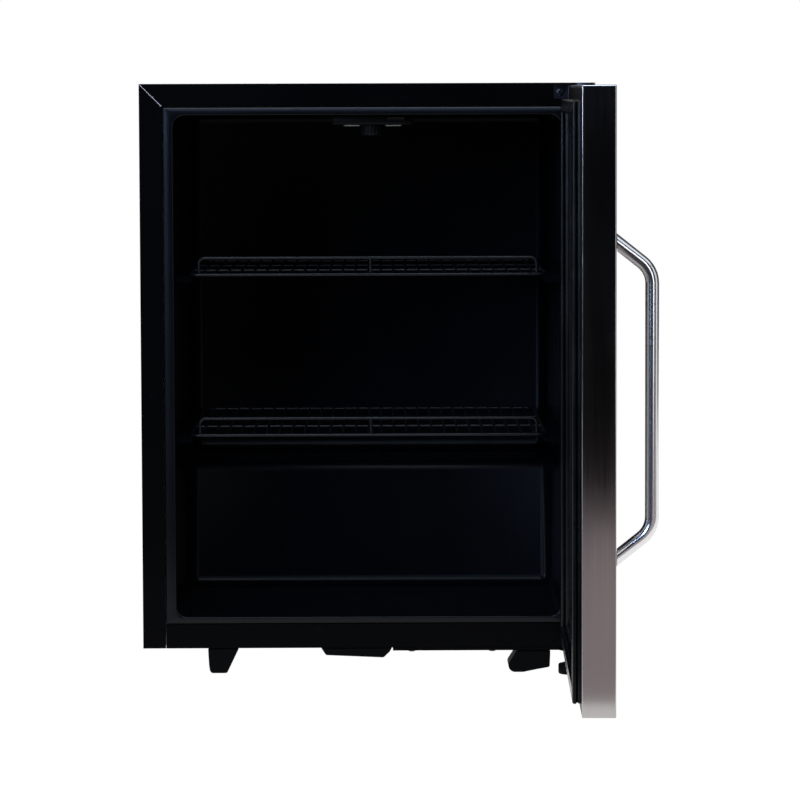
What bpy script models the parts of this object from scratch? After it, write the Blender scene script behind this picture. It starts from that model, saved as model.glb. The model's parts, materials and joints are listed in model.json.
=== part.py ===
"""A mini fridge for cans: steel cabinet, moulded liner, wire shelves and a hinged glass door.

Metres, +Z up, X to the right, Y to the back. The door is modelled closed, in the cabinet's
coordinates, and stands open because its pivot is turned. The whole object hangs on one empty,
which puts the origin under the middle of the object's own box, at floor level.
"""
import math

import bmesh
import bpy
from mathutils import Matrix, Vector

# ---- driving dimensions ------------------------------------------------------------------
WIDTH = 0.476  # cabinet, side to side
DEPTH = 0.435  # cabinet shell, front flange to back panel
HEIGHT = 0.620  # floor to cabinet top
FOOT_HEIGHT = 0.027  # floor to the underside of the cabinet
SHEET = 0.001  # folded steel sheet
GAP = 0.0003  # between pieces that touch

FLANGE = 0.024  # cabinet's front flange, folded in round the opening
RAIL_HEIGHT = 0.0255  # front rail under the opening
RAIL_TOP_FOLD = 0.012
RAIL_BOTTOM_FOLD = 0.020

LIP_SIDE = 0.011  # liner's flange that shows beside the opening
LIP_TOP = 0.0085
LIP_BOTTOM = 0.0075
LIP_SETBACK = 0.0006  # liner's flange sits this far behind the cabinet's
LINER_WALL = 0.0015
LINER_ROUND = 0.012
BACK_FOAM = 0.037  # liner's back wall to the back panel
HUMP_DEPTH = 0.128  # step in the liner over the compressor, from its back wall
HUMP_TOP = 0.200

STEP_FOAM_FRONT = 0.030  # foam between the step and the compressor's bay
STEP_FOAM_TOP = 0.025
FOAM_SETBACK = 0.0025  # foam behind the front rail's fold

SHELF_SIDE_GAP = 0.013  # shelf's side to the liner's wall
SHELF_FRONT = 0.035
SHELF_BACK_GAP = 0.012
SHELF_WIRE = 0.0035
SHELF_PITCH = 0.0130  # between the middles of neighbouring wires
SHELF_BAR = 0.0033
SHELF_BORDER = 0.006
SHELF_HEIGHTS = {"upper": 0.419, "lower": 0.249}
GUARD_RISE = 0.0175  # shelf's raised front wire
GUARD_SIDE = 0.012  # guard's end from the shelf's side
GUARD_WIRE = 0.004
GUARD_POST_X = 0.003
LEDGE_REACH = 0.0035  # how far a ledge reaches under a shelf's side
LEDGE_HEIGHT = 0.007
LEDGE_FRONT = 0.045

HOUSING_MIDDLE = 0.0055  # control housing on the liner's ceiling
HOUSING_WIDTH = 0.086
HOUSING_FRONT = 0.060
HOUSING_DEPTH = 0.140
HOUSING_HEIGHT = 0.0112
LENS_DROP = 0.0012
KNOB_RADIUS = 0.014
KNOB_HEIGHT = 0.011
KNOB_BACK = 0.034  # knob's axis behind the housing's front
ROCKER_WIDTH = 0.018
ROCKER_RADIUS = 0.003
ROCKER_TILT = 8  # degrees either side of the middle; it rests switched on

DOOR_THICK = 0.032
DOOR_UNDER = 0.002  # door's lower edge above the cabinet's underside
DOOR_OVER = 0.003  # door's upper edge below the cabinet's top
DOOR_SKIN = 0.0015
DOOR_BORDER = 0.045  # width of the steel frame round the glass
DOOR_OPEN = 88.8  # degrees
SEAL_THICK = 0.0087
SEAL_INSET = 0.014
SEAL_INSET_BELOW = 0.011
SEAL_WIDTH = 0.014
SEAL_GAP = 0.0003  # closed seal to the cabinet's flange
GLASS = 0.004
GLASS_SPACE = 0.012
GLASS_LAP = 0.008  # glass behind the frame's edge
SPACER_WIDTH = 0.008

PIVOT_IN = 0.014  # hinge axis from the cabinet's side
PIVOT_FORE = 0.015  # hinge axis in front of the door's inner face
PIN_RADIUS = 0.004
PIN_CLEARANCE = 0.0003
BUSH_WALL = 0.0018
BUSH_LENGTH = 0.010
BUSH_RIM = 0.0016
HINGE_PLATE = 0.0025  # top bracket's steel
HINGE_ROUND = 0.011  # round end of a hinge arm
LEAF_HEIGHT = 0.0164  # top bracket's leaf on the flange
LEAF_IN = 0.003  # leaf's right edge from the cabinet's side
LEAF_WIDTH = 0.041
BASE_PLATE = 0.003  # bottom bracket's steel
BASE_PLATE_LEFT = 0.025
BASE_PLATE_DEPTH = 0.030
SCREW_RADIUS = 0.002
SCREW_HEAD = 0.004
SCREW_HEAD_HEIGHT = 0.002
SCREW_LENGTH = 0.0075
SCREW_CLEARANCE = 0.0003

HANDLE_RADIUS = 0.0065
HANDLE_STAND = 0.0345  # tube's middle in front of the door
HANDLE_IN = 0.038  # tube's middle from the door's free edge
HANDLE_LENGTH = 0.298  # end to end, middle of the tube
HANDLE_LEG = 51.5  # degrees, legs from the door's face
HANDLE_BEND = 0.025
BOSS_RADIUS = 0.0085
BOSS_HEIGHT = 0.0015

LEVELLER_IN = 0.027  # levelling foot's axis from the cabinet's side
LEVELLER_FORE = 0.008  # and in front of the cabinet's front
LEVELLER_EDGE = 0.011  # hinge arm's left edge from that axis
LEVELLER_RADIUS = 0.012
LEVELLER_STEM = 0.004
FRONT_FOOT_BACK = 0.002
FRONT_FOOT_DEPTH = 0.038
REAR_FOOT_RADIUS = 0.014
REAR_FOOT_IN = 0.033
REAR_FOOT_FORE = 0.030
PAD_DEPTH = 0.020

COMPRESSOR_X = 0.040
COMPRESSOR_RADIUS = 0.052
COMPRESSOR_HEIGHT = 0.108
COMPRESSOR_PLATE = 0.0025
SEAM = 0.0025  # weld seam that stands out round the compressor
RELAY_WIDTH = 0.026
RELAY_DEPTH = 0.044
RELAY_HEIGHT = 0.046
RELAY_RISE = 0.053  # relay cover's middle above the compressor's foot
GROMMET_RADIUS = 0.008
GROMMET_HEIGHT = 0.008
GROMMET_SPREAD = (0.064, 0.038)
TRAY_FOLD = 0.020
PAN_HEIGHT = 0.014  # evaporation pan on the compressor
PAN_WALL = 0.0015
PIPE = 0.003  # radius of the refrigerant pipes
CAPILLARY = 0.0011
COIL_PIPE = 0.0025
COIL_STAND = 0.012  # condenser's pipe behind the back panel
COIL_SIDE = 0.053  # condenser's bends from the cabinet's side
COIL_RISER = 0.018  # riser beside the bends
COIL_PASSES = 7
COIL_OVER_BAY = 0.050
COIL_UNDER_TOP = 0.035
COIL_BRACKET = 0.014
PLATE_MARGIN = 0.053  # evaporator plate's edge inside the liner's side walls
PLATE_OVER_STEP = 0.035
PLATE_UNDER_TOP = 0.0225
PLATE_THICK = 0.0015
PIPE_WAY = 0.007  # radius of the hole that the pipes take up to the evaporator
PIPE_LAP = 0.030  # the pipes run this far up the evaporator plate
PIPE_WAY_OUT = 0.080  # that hole from the compressor's middle
DRAIN_RADIUS = 0.0035
DRAIN_SIDE = 0.030  # drain from the compressor's middle
DRAIN_IN = 0.020  # drain from the liner's back wall
RISER_RISE = 0.100  # condenser's inlet above the compressor's tray
DRIER_OVER_BAY = 0.015  # drier's top above the bay's top
DRIER_LENGTH = 0.082
GLAND_RADIUS = 0.009

# ---- what follows from them --------------------------------------------------------------
HALF = WIDTH / 2
INSIDE = HALF - SHEET - GAP  # what fits between the cabinet's sides
MOUTH = HALF - FLANGE - LIP_SIDE  # half the liner's opening
LINER_DEPTH = DEPTH - BACK_FOAM
HUMP_FRONT = LINER_DEPTH - HUMP_DEPTH
BAY_FRONT = HUMP_FRONT + STEP_FOAM_FRONT
BAY_TOP = HUMP_TOP - STEP_FOAM_TOP
FOAM_FRONT = RAIL_TOP_FOLD + FOAM_SETBACK
MOUTH_TOP = HEIGHT - FLANGE - LIP_TOP
MOUTH_BOTTOM = FOOT_HEIGHT + RAIL_HEIGHT + LIP_BOTTOM
LIP_BACK = LIP_SETBACK + LINER_WALL
BAY_FLOOR = FOOT_HEIGHT + SHEET + GAP  # underside of the base pan
BAY_MIDDLE = (BAY_FRONT + DEPTH) / 2 + 0.002
SHELF_WIDTH = 2 * (MOUTH - SHELF_SIDE_GAP)
DOOR_BOTTOM = FOOT_HEIGHT + DOOR_UNDER
DOOR_TOP = HEIGHT - DOOR_OVER
DOOR_BACK = -(SEAL_THICK + SEAL_GAP)
DOOR_FRONT = DOOR_BACK - DOOR_THICK
PIVOT = Vector((HALF - PIVOT_IN, DOOR_BACK - PIVOT_FORE, 0))
LEAF_RIGHT = HALF - LEAF_IN
LEAF_LEFT = LEAF_RIGHT - LEAF_WIDTH
COIL_HALF_WIDTH = HALF - COIL_SIDE
COIL_BOTTOM = BAY_TOP + COIL_OVER_BAY
COIL_TOP = HEIGHT - COIL_UNDER_TOP
PLATE_HALF_WIDTH = MOUTH - PLATE_MARGIN
PLATE_BOTTOM = HUMP_TOP + PLATE_OVER_STEP
PLATE_TOP = MOUTH_TOP - PLATE_UNDER_TOP
PIPE_WAY_X = COMPRESSOR_X + PIPE_WAY_OUT
DRAIN_X = COMPRESSOR_X - DRAIN_SIDE
DRAIN_Y = LINER_DEPTH - DRAIN_IN
PLATE_FRONT = LINER_DEPTH + LINER_WALL + GAP
WAY_Y = PLATE_FRONT + PLATE_THICK + GAP + PIPE
PIPE_TOP = PLATE_BOTTOM + PIPE_LAP
TRAY_TOP = FOOT_HEIGHT + SHEET
RISER_X = COIL_HALF_WIDTH + COIL_RISER
RISER_BOTTOM = TRAY_TOP + RISER_RISE
DRIER_TOP = BAY_TOP + DRIER_OVER_BAY
CAN_LOW = TRAY_TOP + GROMMET_HEIGHT + COMPRESSOR_PLATE + 3 * GAP
RELAY_X = COMPRESSOR_X - COMPRESSOR_RADIUS - SEAM - GAP - RELAY_WIDTH / 2
RELAY_Z = CAN_LOW + RELAY_RISE
LEVELLER = (HALF - LEVELLER_IN, -LEVELLER_FORE)
BASE_SCREW_Y = 0.0115
BASE_SCREWS = (BASE_PLATE_LEFT + 0.020, PIVOT.x - 0.094)
TOP_SCREWS = (LEAF_LEFT + 0.007, LEAF_RIGHT - 0.020)
TOP_SCREW_Z = HEIGHT - 0.010
BUSH_HOLE = PIN_RADIUS + PIN_CLEARANCE + BUSH_WALL + GAP

FINISHES = {
    "black_steel": ((0.010, 0.010, 0.012), 0.30, 0.0),
    "raw_steel": ((0.45, 0.45, 0.46), 0.45, 1.0),
    "stainless": ((0.52, 0.51, 0.50), 0.28, 1.0),
    "chrome": ((0.75, 0.75, 0.76), 0.10, 1.0),
    "liner": ((0.022, 0.024, 0.030), 0.22, 0.0),
    "black_plastic": ((0.015, 0.015, 0.017), 0.40, 0.0),
    "rubber": ((0.012, 0.012, 0.012), 0.70, 0.0),
    "foam": ((0.72, 0.62, 0.38), 0.90, 0.0),
    "glass": ((0.08, 0.09, 0.09), 0.05, 0.0),
    "lens": ((0.75, 0.76, 0.74), 0.30, 0.0),
    "aluminium": ((0.70, 0.71, 0.72), 0.40, 1.0),
    "copper": ((0.72, 0.40, 0.25), 0.35, 1.0),
    "compressor_paint": ((0.012, 0.012, 0.013), 0.38, 0.0),
    "shelf_wire": ((0.016, 0.016, 0.018), 0.35, 0.0),
}


# ---- modelling helpers -------------------------------------------------------------------
def clear_scene():
    for obj in list(bpy.data.objects):
        bpy.data.objects.remove(obj)


def new_collection(name):
    collection = bpy.data.collections.new(name)
    bpy.context.scene.collection.children.link(collection)
    return collection


def new_empty(name, parent=None):
    empty = bpy.data.objects.new(name, None)
    PARTS.objects.link(empty)
    empty.parent = parent
    return empty


def material(name, finish):
    colour, roughness, metallic = FINISHES[finish]
    made = bpy.data.materials.new(name)
    made.use_nodes = True
    shader = made.node_tree.nodes["Principled BSDF"]
    shader.inputs["Base Color"].default_value = (*colour, 1)
    shader.inputs["Roughness"].default_value = roughness
    shader.inputs["Metallic"].default_value = metallic
    return made


def add(name, data, finish, parent=None):
    """Link new data as a part, or as a cutter where it has no finish."""
    obj = bpy.data.objects.new(name, data)
    if finish:
        PARTS.objects.link(obj)
        data.materials.append(material(name, finish))
    else:
        CUTTERS.objects.link(obj)
        obj.hide_render = True
        obj.display_type = "WIRE"
    obj.parent = parent or ROOT
    if parent is DOOR:
        # a door piece is placed in the closed door's coordinates
        obj.matrix_parent_inverse = Matrix.Translation(-PIVOT)
    return obj


def block(name, low, high, finish=None, parent=None):
    """A box between two corners, with its origin in its middle."""
    low, high = Vector(low), Vector(high)
    mesh = bpy.data.meshes.new(name)
    shape = bmesh.new()
    bmesh.ops.create_cube(shape, size=1)
    bmesh.ops.scale(shape, vec=high - low, verts=shape.verts)
    shape.to_mesh(mesh)
    shape.free()
    obj = add(name, mesh, finish, parent)
    obj.location = (low + high) / 2
    return obj


def rod(name, centre, radius, low, high, axis="Z", parent=None):
    """A round cutter along an axis, from low to high on it."""
    mesh = bpy.data.meshes.new(name)
    shape = bmesh.new()
    bmesh.ops.create_cone(
        shape, cap_ends=True, segments=24, radius1=radius, radius2=radius, depth=high - low
    )
    shape.to_mesh(mesh)
    shape.free()
    obj = add(name, mesh, None, parent)
    middle = (low + high) / 2
    if axis == "Z":
        obj.location = (centre[0], centre[1], middle)
    else:
        obj.rotation_euler = (math.pi / 2, 0, 0)
        obj.location = (centre[0], middle, centre[1])
    return obj


def turned(name, profile, finish, steps=24, closed=False, parent=None):
    """A solid turned about local Z; the profile is (radius, height) down its outer side."""
    mesh = bpy.data.meshes.new(name)
    last = len(profile) - 1
    edges = [(i, i + 1) for i in range(last)]
    if closed:
        edges.append((last, 0))
    mesh.from_pydata([(r, 0, z) for r, z in profile], edges, [])
    obj = add(name, mesh, finish, parent)
    screw = obj.modifiers.new("turn", "SCREW")
    screw.steps = steps
    screw.render_steps = steps
    screw.use_merge_vertices = True
    screw.merge_threshold = 0.00001
    screw.use_smooth_shade = True
    return obj


def tube(name, points, radius, finish, parent=None, resolution=2):
    """A round wire or pipe along points."""
    curve = bpy.data.curves.new(name, "CURVE")
    curve.dimensions = "3D"
    curve.bevel_depth = radius
    curve.bevel_resolution = resolution
    curve.use_fill_caps = True
    spline = curve.splines.new("POLY")
    spline.points.add(len(points) - 1)
    for target, point in zip(spline.points, points):
        target.co = (*point, 1)
    return add(name, curve, finish, parent)


def outline(name, loops, thickness, finish, parent=None):
    """A flat plate with straight sides; the first loop is its edge, the others are holes."""
    curve = bpy.data.curves.new(name, "CURVE")
    curve.dimensions = "2D"
    curve.fill_mode = "BOTH"
    curve.extrude = thickness / 2
    for loop in loops:
        spline = curve.splines.new("POLY")
        spline.points.add(len(loop) - 1)
        spline.use_cyclic_u = True
        for target, (x, y) in zip(spline.points, loop):
            target.co = (x, y, 0, 1)
    return add(name, curve, finish, parent)


def as_mesh(obj):
    """The same part as a mesh with welded caps, for cutting, joining or bevelling."""
    bpy.context.view_layer.update()
    seen = obj.evaluated_get(bpy.context.evaluated_depsgraph_get())
    mesh = bpy.data.meshes.new_from_object(seen)
    shape = bmesh.new()
    shape.from_mesh(mesh)
    bmesh.ops.remove_doubles(shape, verts=shape.verts, dist=0.000005)
    bmesh.ops.dissolve_limit(shape, angle_limit=0.001, verts=shape.verts, edges=shape.edges)
    bmesh.ops.recalc_face_normals(shape, faces=shape.faces)
    shape.to_mesh(mesh)
    shape.free()
    name = obj.name
    home = obj.users_collection[0]
    made = bpy.data.objects.new(name + "_mesh", mesh)
    home.objects.link(made)
    made.parent = obj.parent
    made.matrix_parent_inverse = obj.matrix_parent_inverse.copy()
    made.matrix_world = obj.matrix_world.copy()
    made.hide_render = obj.hide_render
    made.display_type = obj.display_type
    bpy.data.objects.remove(obj)
    made.name = name
    return made


def bevel(obj, width, segments=2, angle=30):
    """Rounded edges."""
    tool = obj.modifiers.new("round", "BEVEL")
    tool.width = width
    tool.segments = segments
    tool.limit_method = "ANGLE"
    tool.angle_limit = math.radians(angle)
    return obj


def boolean(obj, other, operation):
    tool = obj.modifiers.new(operation.lower(), "BOOLEAN")
    tool.operation = operation
    tool.object = other
    tool.solver = "EXACT"


def cut(obj, *cutters):
    for cutter in cutters:
        boolean(obj, cutter, "DIFFERENCE")
    return obj


def join(obj, *others):
    """Weld other solids on; they are guides, so they go with the cutters."""
    for other in others:
        boolean(obj, other, "UNION")
    return obj


def folded(name, path, sweep, side, finish):
    """Sheet steel folded along a path and as wide as the sweep; side is where its inside is."""
    mesh = bpy.data.meshes.new(name)
    shape = bmesh.new()
    verts = [shape.verts.new(p) for p in path]
    edges = [shape.edges.new(pair) for pair in zip(verts, verts[1:])]
    grown = bmesh.ops.extrude_edge_only(shape, edges=edges)["geom"]
    moved = [v for v in grown if isinstance(v, bmesh.types.BMVert)]
    bmesh.ops.translate(shape, verts=moved, vec=sweep)
    shape.to_mesh(mesh)
    shape.free()
    obj = add(name, mesh, finish)
    solid = obj.modifiers.new("sheet", "SOLIDIFY")
    solid.thickness = SHEET
    solid.offset = side
    solid.use_even_offset = True
    return obj


def circle(x, y, radius, count=24):
    turns = (2 * math.pi * i / count for i in range(count))
    return [(x + radius * math.cos(a), y + radius * math.sin(a)) for a in turns]


def arc(x, y, radius, start, end, count):
    """Points on an arc, angles in degrees, ends included."""
    angles = [math.radians(start + (end - start) * i / count) for i in range(count + 1)]
    return [(x + radius * math.cos(a), y + radius * math.sin(a)) for a in angles]


def rounded_path(points, radius, steps=5):
    """A polyline in space with its corners turned into arcs."""
    points = [Vector(p) for p in points]
    out = [points[0]]
    for before, corner, after in zip(points, points[1:], points[2:]):
        back = (before - corner).normalized()
        on = (after - corner).normalized()
        half = back.angle(on) / 2
        reach = radius / math.tan(half)
        centre = corner + (back + on).normalized() * (radius / math.sin(half))
        first = corner + back * reach - centre
        last = corner + on * reach - centre
        turn = first.angle(last)
        axis = first.cross(last).normalized()
        for i in range(steps + 1):
            out.append(centre + Matrix.Rotation(turn * i / steps, 3, axis) @ first)
    out.append(points[-1])
    return out


# ---- cabinet -----------------------------------------------------------------------------
def cabinet_wrapper():
    """One sheet over the top and both sides, with a mitred flange folded in at the front."""
    mesh = bpy.data.meshes.new("cabinet_wrapper")
    shape = bmesh.new()
    bmesh.ops.create_cube(shape, size=1)
    tall = HEIGHT - FOOT_HEIGHT
    bmesh.ops.scale(shape, vec=(WIDTH, DEPTH, tall), verts=shape.verts)
    shape.faces.ensure_lookup_table()
    open_sides = [f for f in shape.faces if f.normal.z < -0.9 or f.normal.y > 0.9]
    front = [f for f in shape.faces if f.normal.y < -0.9]
    bmesh.ops.inset_individual(shape, faces=front, thickness=FLANGE, use_even_offset=True)
    strips = [f for f in shape.faces if f.normal.y < -0.9 and f not in front]
    under = [f for f in strips if f.calc_center_median().z < -tall / 2 + FLANGE]
    inner_feet = [v for v in front[0].verts if v.co.z < 0]
    bmesh.ops.delete(shape, geom=open_sides + under, context="FACES_ONLY")
    for vert in inner_feet:
        vert.co.z = -tall / 2
    bmesh.ops.delete(shape, geom=front, context="FACES")
    shape.to_mesh(mesh)
    shape.free()
    obj = add("cabinet_wrapper", mesh, "black_steel")
    obj.location = (0, DEPTH / 2, (HEIGHT + FOOT_HEIGHT) / 2)
    solid = obj.modifiers.new("sheet", "SOLIDIFY")
    solid.thickness = SHEET
    solid.offset = -1
    solid.use_even_offset = True
    return obj


def back_panel():
    return block(
        "back_panel",
        (-INSIDE, DEPTH - SHEET, BAY_TOP + SHEET + GAP),
        (INSIDE, DEPTH, HEIGHT - SHEET - GAP),
        "black_steel",
    )


def base_rail():
    """Folded channel that closes the cabinet's front under the opening."""
    left = -(HALF - FLANGE - GAP)
    top = FOOT_HEIGHT + RAIL_HEIGHT
    path = [
        (left, RAIL_BOTTOM_FOLD, FOOT_HEIGHT),
        (left, 0, FOOT_HEIGHT),
        (left, 0, top),
        (left, RAIL_TOP_FOLD, top),
    ]
    return folded("base_rail", path, (-2 * left, 0, 0), -1, "black_steel")


def base_pan():
    """Floor of the cabinet, folded up and back over the compressor."""
    path = [
        (-INSIDE, FOAM_FRONT, BAY_FLOOR),
        (-INSIDE, BAY_FRONT, BAY_FLOOR),
        (-INSIDE, BAY_FRONT, BAY_TOP),
        (-INSIDE, DEPTH - GAP, BAY_TOP),
    ]
    return folded("base_pan", path, (2 * INSIDE, 0, 0), 1, "raw_steel")


def liner_block(name, grow, finish=None):
    """The liner's hollow with its step, grown by a margin all round; it runs out at the front."""
    front = -0.030
    back = LINER_DEPTH + grow
    low = MOUTH_BOTTOM - grow
    high = MOUTH_TOP + grow
    step = HUMP_FRONT + grow
    loop = [
        (front, low),
        (step, low),
        (step, HUMP_TOP - grow),
        (back, HUMP_TOP - grow),
        (back, high),
        (front, high),
    ]
    obj = as_mesh(outline(name, [loop], 2 * (MOUTH + grow), finish))
    obj.rotation_euler = (math.pi / 2, 0, math.pi / 2)
    return bevel(obj, LINER_ROUND + grow, 3)


def inner_liner():
    """Moulded liner: walls, lip round the opening and four ledges for the shelves."""
    obj = liner_block("inner_liner", LINER_WALL, "liner")
    reach = HALF + 0.05
    trim = block("liner_trim", (-reach, -0.05, 0), (reach, LIP_SETBACK + 0.0002, 0.7))
    side = MOUTH + LIP_SIDE - GAP
    lip = block(
        "liner_lip",
        (-side, LIP_SETBACK, MOUTH_BOTTOM - LIP_BOTTOM + GAP),
        (side, LIP_BACK, MOUTH_TOP + LIP_TOP - GAP),
    )
    cut(obj, trim)
    join(obj, lip)
    cut(obj, LINER_HOLLOW)
    inner = SHELF_WIDTH / 2 - LEDGE_REACH
    for level, height in SHELF_HEIGHTS.items():
        top = height - SHELF_WIRE / 2 - GAP
        for hand, sign in (("left", -1), ("right", 1)):
            ends = sorted((sign * inner, sign * (MOUTH + LINER_WALL / 2)))
            ledge = block(
                f"ledge_{level}_{hand}",
                (ends[0], LEDGE_FRONT, top - LEDGE_HEIGHT),
                (ends[1], LINER_DEPTH - SHELF_BACK_GAP, top),
            )
            join(obj, ledge)
    cut(obj, DRAIN_WAY)
    return obj


def insulation_foam():
    """Foam that fills the cabinet round the liner and leaves the compressor's bay."""
    top = HEIGHT - SHEET - GAP
    back = DEPTH - SHEET - GAP
    floor = BAY_FLOOR + SHEET + GAP
    bay_top = BAY_TOP + SHEET + GAP
    loop = [
        (FOAM_FRONT, floor),
        (BAY_FRONT - SHEET - GAP, floor),
        (BAY_FRONT - SHEET - GAP, bay_top),
        (back, bay_top),
        (back, top),
        (FOAM_FRONT, top),
    ]
    obj = as_mesh(outline("insulation_foam", [loop], 2 * INSIDE, "foam"))
    obj.rotation_euler = (math.pi / 2, 0, math.pi / 2)
    hollow = liner_block("foam_hollow", LINER_WALL + GAP)
    pocket = block(
        "evaporator_pocket",
        (-PLATE_HALF_WIDTH - GAP, PLATE_FRONT - 2 * GAP, PLATE_BOTTOM - GAP),
        (PLATE_HALF_WIDTH + GAP, PLATE_FRONT + PLATE_THICK + GAP, PLATE_TOP + GAP),
    )
    return cut(obj, hollow, pocket, PIPE_HOLE, DRAIN_WAY)


def evaporator_plate():
    """Cold plate behind the liner's back wall."""
    return block(
        "evaporator_plate",
        (-PLATE_HALF_WIDTH, PLATE_FRONT, PLATE_BOTTOM),
        (PLATE_HALF_WIDTH, PLATE_FRONT + PLATE_THICK, PLATE_TOP),
        "aluminium",
    )


# ---- what the cabinet stands on ----------------------------------------------------------
def foot(name, loop, front, depth):
    """A moulded foot: an outline seen from the front, with rounded edges."""
    obj = as_mesh(outline(name, [loop], depth, "rubber"))
    obj.rotation_euler = (math.pi / 2, 0, 0)
    obj.location = (0, front + depth / 2, 0)
    return obj


def front_feet():
    top = FOOT_HEIGHT - GAP
    left = -HALF + 0.068
    loop = [
        (left, top),
        (left + 0.001, 0.008),
        (left + 0.0018, 0.003),
        (left + 0.0035, 0),
        (left + 0.020, 0),
        (left + 0.0328, top),
    ]
    foot("front_foot_left", loop, FRONT_FOOT_BACK, FRONT_FOOT_DEPTH)
    top -= BASE_PLATE + GAP
    right = HALF - 0.0915
    loop = [
        (right + 0.0095, top),
        (right, 0.0087),
        (right + 0.001, 0.0040),
        (right + 0.003, 0.0012),
        (right + 0.0065, 0),
        (right + 0.016, 0),
        (right + 0.030, 0.0028),
        (right + 0.044, 0.0053),
        (right + 0.0447, top),
    ]
    foot("front_foot_right", loop, FRONT_FOOT_BACK, FRONT_FOOT_DEPTH)


def centre_base_pad():
    top = FOOT_HEIGHT - GAP
    right = BASE_PLATE_LEFT - 0.0008
    loop = [
        (right - 0.075, top),
        (right - 0.0697, top - 0.0078),
        (right - 0.009, top - 0.0105),
        (right - 0.0027, top - 0.0045),
        (right, top),
    ]
    foot("centre_base_pad", loop, 0.001, PAD_DEPTH)


def rear_feet():
    for hand, sign in (("left", -1), ("right", 1)):
        top = FOOT_HEIGHT - GAP
        profile = [
            (0, top),
            (REAR_FOOT_RADIUS, top),
            (REAR_FOOT_RADIUS, 0.012),
            (REAR_FOOT_RADIUS - 0.003, 0),
            (0, 0),
        ]
        obj = turned(f"rear_foot_{hand}", profile, "rubber")
        obj.location = (sign * (HALF - REAR_FOOT_IN), DEPTH - REAR_FOOT_FORE, 0)


def levelling_foot():
    """Foot with a threaded stem, in the bottom hinge's arm."""
    plate = FOOT_HEIGHT - GAP - BASE_PLATE
    top = FOOT_HEIGHT - GAP
    profile = [
        (0, top),
        (LEVELLER_STEM - 0.001, top),
        (LEVELLER_STEM, top - 0.001),
        (LEVELLER_STEM, plate - 0.010),
        (LEVELLER_RADIUS - 0.002, plate - 0.012),
        (LEVELLER_RADIUS, plate - 0.014),
        (LEVELLER_RADIUS, 0.002),
        (LEVELLER_RADIUS - 0.002, 0),
        (0, 0),
    ]
    obj = turned("levelling_foot", profile, "rubber", 32)
    obj.location = (*LEVELLER, 0)


# ---- cooling -----------------------------------------------------------------------------
def machine_tray():
    """Cross member that carries the compressor, folded up at both ends."""
    left = -INSIDE
    path = [
        (left, BAY_FRONT + GAP, FOOT_HEIGHT + TRAY_FOLD),
        (left, BAY_FRONT + GAP, FOOT_HEIGHT),
        (-left, BAY_FRONT + GAP, FOOT_HEIGHT),
        (-left, BAY_FRONT + GAP, FOOT_HEIGHT + TRAY_FOLD),
    ]
    return folded("machine_tray", path, (0, DEPTH - BAY_FRONT - GAP, 0), -1, "raw_steel")


def compressor():
    """Sealed can on a plate with four rubber mounts, and the box over its terminals."""
    low = TRAY_TOP + GAP
    spread_x, spread_y = GROMMET_SPREAD
    corners = [(-1, -1), (1, -1), (1, 1), (-1, 1)]
    for number, (sx, sy) in enumerate(corners, 1):
        profile = [
            (0, GROMMET_HEIGHT),
            (GROMMET_RADIUS * 0.7, GROMMET_HEIGHT),
            (GROMMET_RADIUS * 0.6, GROMMET_HEIGHT * 0.6),
            (GROMMET_RADIUS, GROMMET_HEIGHT * 0.45),
            (GROMMET_RADIUS, 0),
            (0, 0),
        ]
        obj = turned(f"rubber_mount_{number}", profile, "rubber", 16)
        obj.location = (COMPRESSOR_X + sx * spread_x, BAY_MIDDLE + sy * spread_y, low)
    plate_low = low + GROMMET_HEIGHT + GAP
    thick = COMPRESSOR_PLATE
    round_end = GROMMET_RADIUS
    loop = []
    for (sx, sy), start in zip(corners, (180, 270, 0, 90)):
        loop += arc(sx * spread_x, sy * spread_y, round_end, start, start + 90, 4)
    plate = outline("compressor_plate", [loop], thick, "compressor_paint")
    plate.location = (COMPRESSOR_X, BAY_MIDDLE, plate_low + thick / 2)
    radius = COMPRESSOR_RADIUS
    top = COMPRESSOR_HEIGHT
    dome = [(radius * math.cos(a), top - 0.030 + 0.030 * math.sin(a))
            for a in (math.radians(t) for t in (72, 54, 36, 18, 0))]
    profile = [(0, top), (radius * 0.18, top)] + dome + [
        (radius, top * 0.52),
        (radius + SEAM, top * 0.51),
        (radius + SEAM, top * 0.48),
        (radius, top * 0.47),
        (radius, 0.022),
        (radius * 0.88, 0.008),
        (radius * 0.60, 0),
        (0, 0),
    ]
    can = turned("compressor_shell", profile, "compressor_paint", 32)
    can.location = (COMPRESSOR_X, BAY_MIDDLE, CAN_LOW)
    cover = block(
        "relay_cover",
        (RELAY_X - RELAY_WIDTH / 2, BAY_MIDDLE - RELAY_DEPTH / 2, RELAY_Z - RELAY_HEIGHT / 2),
        (RELAY_X + RELAY_WIDTH / 2, BAY_MIDDLE + RELAY_DEPTH / 2, RELAY_Z + RELAY_HEIGHT / 2),
        "black_plastic",
    )
    bevel(cover, 0.003, 2)


def evaporation_pan():
    """Open pan on top of the compressor, where the drain's water dries off."""
    low = CAN_LOW + COMPRESSOR_HEIGHT + GAP
    front, back = BAY_FRONT + 0.010, DEPTH - 0.008
    left, right = COMPRESSOR_X - 0.062, COMPRESSOR_X + 0.062
    obj = block("evaporation_pan", (left, front, low), (right, back, low + PAN_HEIGHT),
                "black_plastic")
    wall = PAN_WALL
    inside = block(
        "evaporation_pan_inside",
        (left + wall, front + wall, low + wall),
        (right - wall, back - wall, low + 2 * PAN_HEIGHT),
    )
    return cut(obj, inside)


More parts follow.
